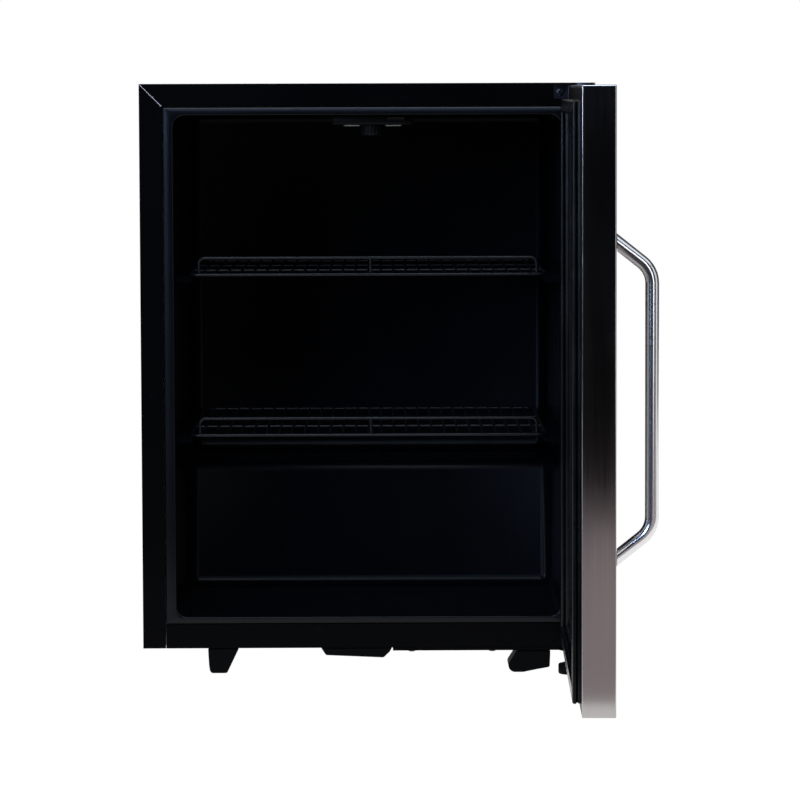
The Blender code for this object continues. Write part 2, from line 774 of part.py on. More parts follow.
def drain_tube():
    """Short tube from the liner's step down to the evaporation pan, with a rim at its top."""
    top = HUMP_TOP + 0.0012
    low = BAY_TOP - 0.006
    bore = DRAIN_RADIUS - 0.001
    profile = [
        (bore, top),
        (DRAIN_RADIUS + 0.0015, top),
        (DRAIN_RADIUS + 0.0015, HUMP_TOP + GAP),
        (DRAIN_RADIUS, HUMP_TOP + GAP),
        (DRAIN_RADIUS, low),
        (bore, low),
    ]
    obj = turned("drain_tube", profile, "black_plastic", 16, closed=True)
    obj.location = (DRAIN_X, DRAIN_Y, 0)


def condenser():
    """Pipe bent to and fro behind the cabinet, its riser, and two rails that hold it."""
    y = DEPTH + COIL_STAND
    pitch = (COIL_TOP - COIL_BOTTOM) / (COIL_PASSES - 1)
    corners = [(RISER_X, y, RISER_BOTTOM), (RISER_X, y, COIL_TOP)]
    for number in range(COIL_PASSES):
        z = COIL_TOP - number * pitch
        ends = (COIL_HALF_WIDTH, -COIL_HALF_WIDTH)
        start, end = ends if number % 2 == 0 else ends[::-1]
        if number:
            corners.append((start, y, z))
        corners.append((end, y, z))
    corners.append((-COIL_HALF_WIDTH, y, DRIER_TOP + GAP))
    obj = tube("condenser_coil", rounded_path(corners, 0.012, 4), COIL_PIPE, "black_steel")
    for hand, sign in (("left", -1), ("right", 1)):
        x = sign * (COIL_HALF_WIDTH - 0.045)
        rail = block(
            f"condenser_rail_{hand}",
            (x - COIL_BRACKET / 2, DEPTH + GAP, COIL_BOTTOM - 0.012),
            (x + COIL_BRACKET / 2, y - COIL_PIPE - GAP, COIL_TOP + 0.012),
            "black_steel",
        )
        bevel(rail, 0.0015, 1)
    return obj


def filter_drier():
    """Copper drier under the condenser's lower end."""
    radius = 0.009
    profile = [
        (0, 0),
        (COIL_PIPE + 0.0004, 0),
        (COIL_PIPE + 0.0008, -0.010),
        (radius, -0.020),
        (radius, -DRIER_LENGTH + 0.020),
        (0.003, -DRIER_LENGTH + 0.008),
        (0.002, -DRIER_LENGTH),
        (0, -DRIER_LENGTH),
    ]
    obj = turned("filter_drier", profile, "copper", 20)
    obj.location = (-COIL_HALF_WIDTH, DEPTH + COIL_STAND, DRIER_TOP)


def pipes():
    """Copper pipes between compressor, condenser, drier and evaporator."""
    side = COMPRESSOR_X + COMPRESSOR_RADIUS
    y = DEPTH + COIL_STAND
    out_z = CAN_LOW + 0.024
    discharge = [
        (side + GAP, BAY_MIDDLE, out_z),
        (RISER_X, BAY_MIDDLE, out_z),
        (RISER_X, y, out_z),
        (RISER_X, y, RISER_BOTTOM - GAP),
    ]
    tube("discharge_pipe", rounded_path(discharge, 0.010, 4), PIPE, "copper")
    in_z = CAN_LOW + 0.068
    suction = [
        (side + GAP, BAY_MIDDLE, in_z),
        (PIPE_WAY_X, BAY_MIDDLE, in_z),
        (PIPE_WAY_X, WAY_Y, in_z),
        (PIPE_WAY_X, WAY_Y, PIPE_TOP),
    ]
    tube("suction_pipe", rounded_path(suction, 0.008, 4), PIPE, "copper")
    start_z = DRIER_TOP - DRIER_LENGTH - GAP
    x = PIPE_WAY_X - PIPE - 2 * CAPILLARY
    low_z = start_z - 0.014
    thin_y = WAY_Y - PIPE + CAPILLARY
    thin = [
        (-COIL_HALF_WIDTH, y, start_z),
        (-COIL_HALF_WIDTH, y, low_z),
        (x, y, low_z),
        (x, thin_y, low_z),
        (x, thin_y, PIPE_TOP),
    ]
    tube("capillary_tube", rounded_path(thin, 0.008, 4), CAPILLARY, "copper")


def cord_gland():
    """Bush that the supply cord goes in by, on the back of the relay cover."""
    bore = GLAND_RADIUS * 0.42
    profile = [
        (bore, 0.011),
        (GLAND_RADIUS * 0.62, 0.011),
        (GLAND_RADIUS * 0.75, 0.003),
        (GLAND_RADIUS, 0.0025),
        (GLAND_RADIUS, 0),
        (bore, 0),
    ]
    obj = turned("cord_gland", profile, "black_plastic", 20, closed=True)
    obj.rotation_euler = (-math.pi / 2, 0, 0)
    obj.location = (RELAY_X, BAY_MIDDLE + RELAY_DEPTH / 2 + GAP, RELAY_Z)


# ---- inside the cabinet ------------------------------------------------------------------
def shelf(level, height):
    """Flat grille of wires in a frame, with a raised guard wire along its front."""
    half = SHELF_WIDTH / 2
    back = LINER_DEPTH - SHELF_BACK_GAP
    low, high = height - SHELF_WIRE / 2, height + SHELF_WIRE / 2
    grille = block(f"{level}_shelf", (-half, SHELF_FRONT, low), (half, back, high), "shelf_wire")
    inner = SHELF_WIDTH - 2 * SHELF_BORDER
    slots = round((inner + SHELF_BAR) / SHELF_PITCH)
    slot_width = (inner + SHELF_BAR) / slots - SHELF_BAR
    first = -half + SHELF_BORDER
    slot = block(
        f"{level}_shelf_slot",
        (first, SHELF_FRONT + SHELF_BORDER, low - 0.002),
        (first + slot_width, back - SHELF_BORDER, high + 0.002),
    )
    row = slot.modifiers.new("row", "ARRAY")
    row.count = slots
    row.use_relative_offset = False
    row.use_constant_offset = True
    row.constant_offset_displace = (slot_width + SHELF_BAR, 0, 0)
    cut(grille, slot)
    guard_half = half - GUARD_SIDE
    y = SHELF_FRONT + GUARD_WIRE / 2
    foot_z = high + GAP
    top_z = height + GUARD_RISE
    bow = rounded_path(
        [(-guard_half, y, foot_z), (-guard_half, y, top_z), (guard_half, y, top_z),
         (guard_half, y, foot_z)],
        0.011,
        4,
    )
    guard = as_mesh(tube(f"{level}_shelf_guard", bow, GUARD_WIRE / 2, "shelf_wire"))
    post_points = [(GUARD_POST_X, y, foot_z), (GUARD_POST_X, y, top_z)]
    post = tube(f"{level}_guard_post", post_points, GUARD_WIRE / 2 - 0.0003, None)
    join(guard, as_mesh(post))


def controls():
    """Housing on the ceiling with the lamp's lens, the thermostat's knob and a light switch."""
    ceiling = MOUTH_TOP - GAP
    low = ceiling - HOUSING_HEIGHT
    left = HOUSING_MIDDLE - HOUSING_WIDTH / 2
    right = left + HOUSING_WIDTH
    housing = block(
        "control_housing",
        (left, HOUSING_FRONT, low),
        (right, HOUSING_FRONT + HOUSING_DEPTH, ceiling),
        "black_plastic",
    )
    bevel(housing, 0.002, 2)
    lens = block(
        "lamp_lens",
        (left + 0.012, HOUSING_FRONT + 0.070, low - GAP - LENS_DROP),
        (right - 0.012, HOUSING_FRONT + HOUSING_DEPTH - 0.015, low - GAP),
        "lens",
    )
    bevel(lens, 0.0004, 1)
    profile = [
        (0, 0),
        (KNOB_RADIUS * 0.9, 0),
        (KNOB_RADIUS, -0.002),
        (KNOB_RADIUS, -0.005),
        (KNOB_RADIUS * 0.82, -KNOB_HEIGHT + 0.001),
        (KNOB_RADIUS * 0.70, -KNOB_HEIGHT),
        (0, -KNOB_HEIGHT),
    ]
    knob = turned("thermostat_knob", profile, "black_plastic", 24)
    knob.location = (HOUSING_MIDDLE, HOUSING_FRONT + KNOB_BACK, low - GAP)
    radius = ROCKER_RADIUS
    loop = arc(0, 0, radius, -80, 80, 8)
    loop += [(-0.0005, radius * 1.1), (-radius * 0.85, radius * 1.1), (-radius * 0.55, 0),
             (-radius * 0.85, -radius * 1.1), (-0.0005, -radius * 1.1)]
    tilt = Matrix.Rotation(math.radians(ROCKER_TILT), 2)
    loop = [tuple(tilt @ Vector(point)) for point in loop]
    rocker = outline("light_switch_rocker", [loop], ROCKER_WIDTH, "black_plastic")
    rocker.rotation_euler = (math.pi / 2, 0, math.pi / 2)
    middle = (low + ceiling) / 2
    rocker.location = (right - 0.018, HOUSING_FRONT - radius - GAP, middle)


# ---- hinges ------------------------------------------------------------------------------
def screw_profile():
    """A pan-head screw: its head's flat underside is at height zero, the shank points up."""
    return [
        (0, SCREW_LENGTH),
        (SCREW_RADIUS * 0.7, SCREW_LENGTH),
        (SCREW_RADIUS, SCREW_LENGTH - 0.001),
        (SCREW_RADIUS, 0),
        (SCREW_HEAD, 0),
        (SCREW_HEAD, -SCREW_HEAD_HEIGHT * 0.5),
        (SCREW_HEAD * 0.6, -SCREW_HEAD_HEIGHT),
        (0, -SCREW_HEAD_HEIGHT),
    ]


def top_hinge():
    """Angle bracket: a leaf on the cabinet's flange and an arm over the door."""
    high = HEIGHT - 0.0002
    arm_low = high - HINGE_PLATE
    reach = HINGE_ROUND
    loop = [(LEAF_RIGHT, -GAP), (LEAF_LEFT, -GAP), (LEAF_LEFT, -GAP - HINGE_PLATE)]
    loop += arc(PIVOT.x, PIVOT.y, reach, 200, 360, 8)
    hole = circle(PIVOT.x, PIVOT.y, PIN_RADIUS + PIN_CLEARANCE, 16)
    arm = outline("top_hinge_bracket", [loop, hole], HINGE_PLATE, "chrome")
    arm.location = (0, 0, arm_low + HINGE_PLATE / 2)
    arm = as_mesh(arm)
    trim = 0.0005  # keeps the leaf's faces off the arm's own
    leaf = block(
        "top_hinge_leaf",
        (LEAF_LEFT + trim, -GAP - HINGE_PLATE, high - LEAF_HEIGHT),
        (LEAF_RIGHT - trim, -GAP - trim, high - trim),
    )
    join(arm, leaf)
    cut(arm, *TOP_SCREW_HOLES)
    for number, x in enumerate(TOP_SCREWS, 1):
        screw = turned(f"top_hinge_screw_{number}", screw_profile(), "chrome", 16)
        screw.rotation_euler = (-math.pi / 2, 0, 0)
        screw.location = (x, -2 * GAP - HINGE_PLATE, TOP_SCREW_Z)
    low = DOOR_TOP - BUSH_LENGTH - 0.001
    profile = [(0, high), (PIN_RADIUS, high), (PIN_RADIUS, low + 0.001), (PIN_RADIUS - 0.001, low),
               (0, low)]
    pin = turned("top_hinge_pin", profile, "chrome", 20)
    pin.location = (PIVOT.x, PIVOT.y, 0)


def bottom_hinge():
    """Long plate under the front rail, with an arm under the door and a pin with a head."""
    high = FOOT_HEIGHT - GAP
    low = high - BASE_PLATE
    loop = [(BASE_PLATE_LEFT, BASE_PLATE_DEPTH), (BASE_PLATE_LEFT, 0.0005),
            (LEVELLER[0] - LEVELLER_EDGE, 0.0005)]
    loop += arc(PIVOT.x, PIVOT.y, HINGE_ROUND, 190, 360, 8)
    loop += [(HALF - 0.001, 0.0005), (HALF - 0.001, BASE_PLATE_DEPTH)]
    holes = [
        circle(PIVOT.x, PIVOT.y, PIN_RADIUS + PIN_CLEARANCE, 16),
        circle(*LEVELLER, LEVELLER_STEM + PIN_CLEARANCE, 16),
    ]
    holes += [circle(x, BASE_SCREW_Y, SCREW_RADIUS + SCREW_CLEARANCE, 12) for x in BASE_SCREWS]
    plate = outline("bottom_hinge_plate", [loop] + holes, BASE_PLATE, "black_steel")
    plate.location = (0, 0, low + BASE_PLATE / 2)
    for number, x in enumerate(BASE_SCREWS, 1):
        screw = turned(f"bottom_hinge_screw_{number}", screw_profile(), "chrome", 16)
        screw.location = (x, BASE_SCREW_Y, low - GAP)
    top = DOOR_BOTTOM + BUSH_LENGTH + 0.001
    head = low - GAP
    profile = [(0, top), (PIN_RADIUS - 0.001, top), (PIN_RADIUS, top - 0.001), (PIN_RADIUS, head),
               (PIN_RADIUS + 0.003, head), (PIN_RADIUS + 0.003, head - 0.002),
               (PIN_RADIUS + 0.001, head - 0.003), (0, head - 0.003)]
    pin = turned("bottom_hinge_pin", profile, "chrome", 20)
    pin.location = (PIVOT.x, PIVOT.y, 0)


# ---- door --------------------------------------------------------------------------------
def door_frame():
    """Steel skin: front frame and four edges, open behind."""
    obj = block(
        "door_frame",
        (-HALF, DOOR_FRONT, DOOR_BOTTOM),
        (HALF, DOOR_BACK, DOOR_TOP),
        "stainless",
        DOOR,
    )
    pocket = block(
        "door_pocket",
        (-HALF + DOOR_SKIN, DOOR_FRONT + DOOR_SKIN, DOOR_BOTTOM + DOOR_SKIN),
        (HALF - DOOR_SKIN, DOOR_BACK + 0.01, DOOR_TOP - DOOR_SKIN),
        None,
        DOOR,
    )
    window = block(
        "door_window",
        (-HALF + DOOR_BORDER, DOOR_FRONT - 0.01, DOOR_BOTTOM + DOOR_BORDER),
        (HALF - DOOR_BORDER, DOOR_BACK + 0.01, DOOR_TOP - DOOR_BORDER),
        None,
        DOOR,
    )
    return cut(obj, pocket, window, BUSH_HOLE_TOP, BUSH_HOLE_BOTTOM)


def door_core():
    """Plastic frame inside the skin, which holds the glass."""
    room = DOOR_SKIN + GAP
    obj = block(
        "door_core",
        (-HALF + room, DOOR_FRONT + room, DOOR_BOTTOM + room),
        (HALF - room, DOOR_BACK - GAP, DOOR_TOP - room),
        "black_plastic",
        DOOR,
    )
    edge = DOOR_BORDER - GLASS_LAP - GAP
    unit = 2 * GLASS + GLASS_SPACE
    seat = block(
        "glass_seat",
        (-HALF + edge, DOOR_FRONT, DOOR_BOTTOM + edge),
        (HALF - edge, DOOR_FRONT + room + unit + GAP, DOOR_TOP - edge),
        None,
        DOOR,
    )
    edge = DOOR_BORDER - GLASS_LAP + SPACER_WIDTH + 0.002
    sight = block(
        "sight_opening",
        (-HALF + edge, DOOR_FRONT, DOOR_BOTTOM + edge),
        (HALF - edge, DOOR_BACK + 0.01, DOOR_TOP - edge),
        None,
        DOOR,
    )
    return cut(obj, seat, sight, BUSH_HOLE_TOP, BUSH_HOLE_BOTTOM)


def glazing():
    """Two panes with a hollow spacer frame between them."""
    edge = DOOR_BORDER - GLASS_LAP
    front = DOOR_FRONT + DOOR_SKIN + GAP

    def pane(name, start, thick, inset, finish):
        return block(
            name,
            (-HALF + edge + inset, start, DOOR_BOTTOM + edge + inset),
            (HALF - edge - inset, start + thick, DOOR_TOP - edge - inset),
            finish,
            DOOR,
        )

    pane("outer_glass", front, GLASS, 0, "glass")
    pane("inner_glass", front + GLASS + GLASS_SPACE, GLASS, 0, "glass")
    between = GLASS_SPACE - 2 * GAP
    spacer = pane("glass_spacer", front + GLASS + GAP, between, 0.001, "aluminium")
    hole = pane("spacer_hole", front, unit_thickness(), SPACER_WIDTH, None)
    cut(spacer, hole)


def unit_thickness():
    return 2 * GLASS + GLASS_SPACE


def door_seal():
    """Soft magnetic seal on the door's inner face."""
    low, high = DOOR_BOTTOM + SEAL_INSET_BELOW, DOOR_TOP - SEAL_INSET
    side = HALF - SEAL_INSET
    front, back = DOOR_BACK, -SEAL_GAP
    obj = block("door_seal", (-side, front, low), (side, back, high), "rubber", DOOR)
    inner = SEAL_WIDTH
    hole = block(
        "seal_hole",
        (-side + inner, front - 0.01, low + inner),
        (side - inner, back + 0.01, high - inner),
        None,
        DOOR,
    )
    cut(obj, hole)
    return bevel(obj, 0.0015, 1)


def handle():
    """Bent tube with slanting legs, and a round boss at each end."""
    middle = (DOOR_TOP + DOOR_BOTTOM) / 2
    x = -HALF + HANDLE_IN
    face = DOOR_FRONT
    slant = math.radians(HANDLE_LEG)
    inside = HANDLE_RADIUS  # the leg starts inside the door and is trimmed at the boss
    rise = HANDLE_STAND / math.tan(slant)
    run_on = inside / math.tan(slant)
    half = HANDLE_LENGTH / 2
    corners = [
        (x, face + inside, middle + half + run_on),
        (x, face - HANDLE_STAND, middle + half - rise),
        (x, face - HANDLE_STAND, middle - half + rise),
        (x, face + inside, middle - half - run_on),
    ]
    points = rounded_path(corners, HANDLE_BEND, 6)
    bar = as_mesh(tube("handle", points, HANDLE_RADIUS, "stainless", DOOR, 4))
    trims = []
    for number, z in enumerate((middle + half, middle - half), 1):
        reach = BOSS_RADIUS * 2
        trims.append(block(
            f"handle_trim_{number}",
            (x - reach, face - BOSS_HEIGHT - GAP, z - reach),
            (x + reach, face + 0.02, z + reach),
            None,
            DOOR,
        ))
    cut(bar, *trims)
    for hand, z in (("upper", middle + half), ("lower", middle - half)):
        profile = [
            (0, BOSS_HEIGHT),
            (BOSS_RADIUS * 0.9, BOSS_HEIGHT),
            (BOSS_RADIUS, BOSS_HEIGHT - 0.0005),
            (BOSS_RADIUS, GAP),
            (0, GAP),
        ]
        boss = turned(f"{hand}_handle_boss", profile, "black_plastic", 20, parent=DOOR)
        boss.rotation_euler = (math.pi / 2, 0, 0)
        boss.location = (x, face, z)


def hinge_bushes():
    """Flanged sleeves that turn on the pins, one in each end of the door."""
    bore = PIN_RADIUS + PIN_CLEARANCE
    outer = bore + BUSH_WALL
    for end, z, way in (("top", DOOR_TOP, -1), ("bottom", DOOR_BOTTOM, 1)):
        profile = [(bore, 0), (outer, 0), (outer, -BUSH_LENGTH), (bore, -BUSH_LENGTH)]
        if way > 0:
            rim = BUSH_RIM
            profile = [(bore, BUSH_LENGTH), (outer, BUSH_LENGTH), (outer, -GAP),
                       (outer + 0.002, -GAP), (outer + 0.002, -GAP - rim), (bore, -GAP - rim)]
        bush = turned(f"{end}_hinge_bush", profile, "lens", 20, closed=True, parent=DOOR)
        bush.location = (PIVOT.x, PIVOT.y, z)


# ---- assembly ----------------------------------------------------------------------------
def centre_on_floor():
    """Move the whole object so that its origin is under the middle of its own box."""
    bpy.context.view_layer.update()
    graph = bpy.context.evaluated_depsgraph_get()
    points = []
    for obj in PARTS.objects:
        if obj.type == "EMPTY":
            continue
        seen = obj.evaluated_get(graph)
        mesh = seen.to_mesh()
        points += [seen.matrix_world @ v.co for v in mesh.vertices]
        seen.to_mesh_clear()
    low = [min(p[i] for p in points) for i in range(3)]
    high = [max(p[i] for p in points) for i in range(3)]
    ROOT.location = (-(low[0] + high[0]) / 2, -(low[1] + high[1]) / 2, -low[2])


clear_scene()
PARTS = new_collection("mini_fridge")
CUTTERS = new_collection("cutters")
ROOT = new_empty("fridge_origin")
DOOR = new_empty("door_pivot", ROOT)
DOOR.location = PIVOT
DOOR.rotation_euler = (0, 0, math.radians(DOOR_OPEN))

TOP_SCREW_HOLES = [
    rod(f"top_screw_hole_{n}", (x, TOP_SCREW_Z), SCREW_RADIUS + SCREW_CLEARANCE, -0.01, 0.01, "Y")
    for n, x in enumerate(TOP_SCREWS, 1)
]
BASE_SCREW_HOLES = [
    rod(f"base_screw_hole_{n}", (x, BASE_SCREW_Y), SCREW_RADIUS + SCREW_CLEARANCE,
        FOOT_HEIGHT - 0.01, FOOT_HEIGHT + 0.01)
    for n, x in enumerate(BASE_SCREWS, 1)
]
BUSH_HOLE_TOP = rod("bush_hole_top", PIVOT, BUSH_HOLE, DOOR_TOP - BUSH_LENGTH - 0.002,
                    DOOR_TOP + 0.01, parent=DOOR)
BUSH_HOLE_BOTTOM = rod("bush_hole_bottom", PIVOT, BUSH_HOLE, DOOR_BOTTOM - 0.01,
                       DOOR_BOTTOM + BUSH_LENGTH + 0.002, parent=DOOR)
PIPE_HOLE = rod("pipe_hole", (PIPE_WAY_X - 0.002, WAY_Y), PIPE_WAY, BAY_TOP - 0.01,
                PIPE_TOP + GAP)
DRAIN_WAY = rod("drain_way", (DRAIN_X, DRAIN_Y), DRAIN_RADIUS + GAP, BAY_TOP - 0.01,
                HUMP_TOP + 0.003)
LINER_HOLLOW = liner_block("liner_hollow", 0)

cut(cabinet_wrapper(), *TOP_SCREW_HOLES)
back_panel()
cut(base_rail(), *BASE_SCREW_HOLES)
cut(base_pan(), PIPE_HOLE, DRAIN_WAY)
inner_liner()
insulation_foam()
evaporator_plate()
front_feet()
centre_base_pad()
rear_feet()
levelling_foot()
machine_tray()
compressor()
evaporation_pan()
drain_tube()
condenser()
filter_drier()
pipes()
cord_gland()
for LEVEL, SHELF_Z in SHELF_HEIGHTS.items():
    shelf(LEVEL, SHELF_Z)
controls()
top_hinge()
bottom_hinge()
door_frame()
door_core()
glazing()
door_seal()
handle()
hinge_bushes()
centre_on_floor()
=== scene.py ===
# %% [markdown]
# # A can cooler with its door open
#
# This lesson dresses a finished mechanical model of a small fridge. The mechanical model is the
# frame: it fixes every size, every joint and every place. Here each piece gets the shape detail
# and the finish that the hand and the eye expect. Nothing is measured twice, so whatever needs a
# size asks the frame for it.

import json
import math

import bmesh
import bpy
from mathutils import Matrix, Vector


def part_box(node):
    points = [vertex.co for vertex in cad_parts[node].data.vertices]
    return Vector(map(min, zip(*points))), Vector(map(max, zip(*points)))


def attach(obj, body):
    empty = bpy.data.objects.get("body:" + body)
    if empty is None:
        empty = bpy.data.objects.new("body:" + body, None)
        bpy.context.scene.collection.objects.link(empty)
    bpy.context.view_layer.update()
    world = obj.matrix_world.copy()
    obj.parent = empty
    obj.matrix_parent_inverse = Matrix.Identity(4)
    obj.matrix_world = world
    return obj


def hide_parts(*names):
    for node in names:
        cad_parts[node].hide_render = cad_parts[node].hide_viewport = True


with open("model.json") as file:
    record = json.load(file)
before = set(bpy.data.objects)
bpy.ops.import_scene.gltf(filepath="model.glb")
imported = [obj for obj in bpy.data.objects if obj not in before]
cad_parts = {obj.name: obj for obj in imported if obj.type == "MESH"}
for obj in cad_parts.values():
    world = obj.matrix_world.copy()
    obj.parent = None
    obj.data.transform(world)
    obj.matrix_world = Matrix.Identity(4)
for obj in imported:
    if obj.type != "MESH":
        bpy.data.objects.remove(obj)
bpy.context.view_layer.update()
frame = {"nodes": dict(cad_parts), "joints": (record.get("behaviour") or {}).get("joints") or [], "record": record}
BODY_OF = {node: body for body, nodes in frame["record"]["behaviour"]["bodies"].items()
           for node in nodes}
SLOT_OF = {part["node"]: part["material_slot"] for part in frame["record"]["subparts"]}

# %% [markdown]
# ## Where the door was modelled
#
# The door stands open in the frame, turned almost a right angle. Building its trim at that angle
# would be awkward, so every door piece is made as if the door were shut and is then swung open
# about the hinge's own axis. The joint's record says where that axis is, and its lower limit is
# the way back to shut, so the swing is the same number with its sign changed.

# %% The door's swing
HINGE = next(joint for joint in frame["joints"] if joint["name"] == "door_hinge")
PIVOT = Vector(HINGE["pos_m"])
SWING = (Matrix.Translation(PIVOT)
         @ Matrix.Rotation(math.radians(-HINGE["range_deg"][0]), 4, "Z")
         @ Matrix.Translation(-PIVOT))


def shut_box(node):
    """Corners of a door node with the door shut."""
    back = SWING.inverted()
    points = [back @ v.co for v in frame["nodes"][node].data.vertices]
    low = Vector([min(p[i] for p in points) for i in range(3)])
    high = Vector([max(p[i] for p in points) for i in range(3)])
    return low, high


CABINET_LOW, CABINET_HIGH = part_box("cabinet_wrapper")
DOOR_LOW, DOOR_HIGH = shut_box("door_frame")
MIDDLE_X = (CABINET_LOW.x + CABINET_HIGH.x) / 2
FRONT = CABINET_LOW.y
TOP = CABINET_HIGH.z
print(f"cabinet {CABINET_HIGH.x - CABINET_LOW.x:.3f} m wide")
print(f"door {DOOR_HIGH.y - DOOR_LOW.y:.4f} m thick")

# %% [markdown]
# ## Camera
#
# A long lens from about four metres, with the eye level with the cabinet's top, keeps the front
# almost square while the shelves still show their upper faces. The camera is made before
# anything else, because every later choice of light and finish is judged through it.

# %% Camera
LENS = 176.5  # mm on a 36 mm sensor
EYE_BACK = 4.101  # in front of the cabinet's flange
EYE_SIDE = 0.0133
EYE_DROP = 0.0085  # below the cabinet's top
PITCH, YAW, ROLL = 4.50, 0.28, -0.19  # degrees: down, to the right, about the view

lens = bpy.data.cameras.new("camera")
lens.lens = LENS
lens.sensor_width = 36
lens.clip_end = 60
camera = bpy.data.objects.new("camera", lens)
bpy.context.scene.collection.objects.link(camera)
camera.matrix_world = (
    Matrix.Translation((MIDDLE_X + EYE_SIDE, FRONT - EYE_BACK, TOP - EYE_DROP))
    @ Matrix.Rotation(math.radians(-YAW), 4, "Z")
    @ Matrix.Rotation(math.radians(90 - PITCH), 4, "X")
    @ Matrix.Rotation(math.radians(ROLL), 4, "Z"))
bpy.context.scene.camera = camera
print("camera at", [round(c, 3) for c in camera.location])

# %% [markdown]
# ## Shader maths as sums
#
# A procedural finish is a chain of small nodes, and wiring each by hand hides the idea. `Signal`
# wraps one socket so that `1 - mask` or `mask * 0.4` writes the Math nodes by itself. `Finish`
# holds one material and has one method for every other node. Settings go in first, because a
# node's settings can change which sockets it has.

# %% Signal and Finish
class Signal:
    """One socket of a shader tree that can be used in sums."""

    def __init__(self, finish, socket):
        self.finish = finish
        self.socket = socket

    def maths(self, operation, first, second):
        return self.finish.node("ShaderNodeMath", {"operation": operation}, {0: first, 1: second})

    def __add__(self, other):
        return self.maths("ADD", self, other)

    def __sub__(self, other):
        return self.maths("SUBTRACT", self, other)

    def __rsub__(self, other):
        return self.maths("SUBTRACT", other, self)

    def __mul__(self, other):
        return self.maths("MULTIPLY", self, other)

    __radd__ = __add__
    __rmul__ = __mul__


class Finish:
    """A material: one Principled shader, and one method that adds any other node."""

    def __init__(self, name, colour, **values):
        self.material = bpy.data.materials.new(name)
        self.material.use_nodes = True
        self.tree = self.material.node_tree
        self.shader = self.tree.nodes["Principled BSDF"]
        self.colour = colour
        self.feed("Base Color", (*colour, 1))
        for key, value in values.items():
            self.feed(key.replace("_", " "), value)

    def feed(self, socket, value):
        self.plug(self.shader.inputs[socket], value)

    def plug(self, socket, value):
        if isinstance(value, Signal):
            self.tree.links.new(value.socket, socket)
        else:
            socket.default_value = value

    def node(self, kind, settings=None, inputs=None, out=0):
        made = self.tree.nodes.new(kind)
        for name, value in (settings or {}).items():
            if name == "stops":
                ramp = made.color_ramp
                ramp.elements[0].position, ramp.elements[0].color = value[0]
                ramp.elements[1].position, ramp.elements[1].color = value[-1]
                for place, colour in value[1:-1]:
                    ramp.elements.new(place).color = colour
            else:
                setattr(made, name, value)
        for name, value in (inputs or {}).items():
            self.plug(made.inputs[name], value)
        return Signal(self, made.outputs[out])

    def place(self, stretch=(1, 1, 1)):
        """Where a point of the piece is, in metres, squeezed along the axes."""
        where = self.node("ShaderNodeTexCoord", out="Object")
        return self.node("ShaderNodeMapping", inputs={"Vector": where, "Scale": stretch})

    def noise(self, scale, detail=2, stretch=(1, 1, 1), roughness=0.5):
        settings = {"noise_dimensions": "3D"}
        return self.node("ShaderNodeTexNoise", settings, {
            "Vector": self.place(stretch), "Scale": scale, "Detail": detail,
            "Roughness": roughness})

    def band(self, signal, low, high):
        """Zero below low, one above high, a straight climb between."""
        return self.node("ShaderNodeMapRange", {"clamp": True}, {
            "Value": signal, "From Min": low, "From Max": high, "To Min": 0, "To Max": 1})

    def tint(self, mask, other):
        """Turn the base colour towards another where the mask is high."""
        mixed = self.node("ShaderNodeMix", {"data_type": "RGBA"}, {
            "Factor": mask, 6: (*self.colour, 1), 7: (*other, 1)}, out=2)
        self.feed("Base Color", mixed)

    def bump(self, height, strength, distance):
        self.feed("Normal", self.node("ShaderNodeBump", inputs={
            "Height": height, "Strength": strength, "Distance": distance}))


print("shader helpers ready")

# %% [markdown]
# ## Painted and moulded finishes
#
# Black goods are told apart by their gloss, not by their colour. Powder paint has a soft orange
# peel about a millimetre across, a vacuum-formed liner is smoother and glossier, and moulded
# plastic has the fine grain of a spark-eroded tool. So each finish sets its roughness first and
# then adds bump at its own scale. Dust and handling raise the roughness in patches, which keeps
# a reflection from looking like a computer's.

# %% Paint, liner, plastic and rubber
def satin_paint(name, colour=(0.0010, 0.0010, 0.0012), rough=0.28, sheen=0.03):
    made = Finish(name, colour, Specular_IOR_Level=sheen)
    peel = made.noise(620, 1)
    patches = made.noise(7, 4)
    scuffs = made.band(made.noise(38, 6, (1, 1, 5), 0.65), 0.66, 0.80)
    made.feed("Roughness", made.band(patches, 0.3, 0.7) * 0.07 + scuffs * 0.12 + rough)
    made.tint(scuffs * 0.35, (0.012, 0.012, 0.014))
    made.bump(peel, 0.10, 0.0004)
    return made.material


def moulded_liner(name="liner_inside", sheen=0.045):
    made = Finish(name, (0.0014, 0.0017, 0.0025), Specular_IOR_Level=sheen)
    draw = made.noise(24, 3, (1, 1, 0.35))
    haze = made.band(made.noise(5, 4), 0.35, 0.75)
    made.feed("Roughness", haze * 0.10 + 0.22)
    made.tint(haze * 0.5, (0.0022, 0.0027, 0.0042))
    made.bump(draw, 0.18, 0.0012)
    return made.material


def grained_plastic(name, colour=(0.0028, 0.0028, 0.0032), rough=0.40, grain=1500, sheen=0.14):
    made = Finish(name, colour, Specular_IOR_Level=sheen)
    cells = made.node("ShaderNodeTexVoronoi", {"feature": "SMOOTH_F1"}, {
        "Vector": made.place(), "Scale": grain}, out="Distance")
    wear = made.band(made.noise(30, 5), 0.55, 0.8)
    made.feed("Roughness", wear * 0.12 + rough)
    made.tint(wear * 0.5, tuple(c * 2.2 for c in colour))
    made.bump(cells, 0.28, 0.0003)
    return made.material


def soft_rubber(name, colour=(0.0010, 0.0010, 0.0011), rough=0.55, sheen=0.04):
    made = Finish(name, colour, Specular_IOR_Level=sheen)
    skin = made.noise(900, 2)
    bloom = made.band(made.noise(18, 5), 0.45, 0.8)
    made.feed("Roughness", bloom * 0.15 + rough)
    made.tint(bloom * 0.6, tuple(c * 2.4 for c in colour))
    made.bump(skin, 0.2, 0.0003)
    return made.material


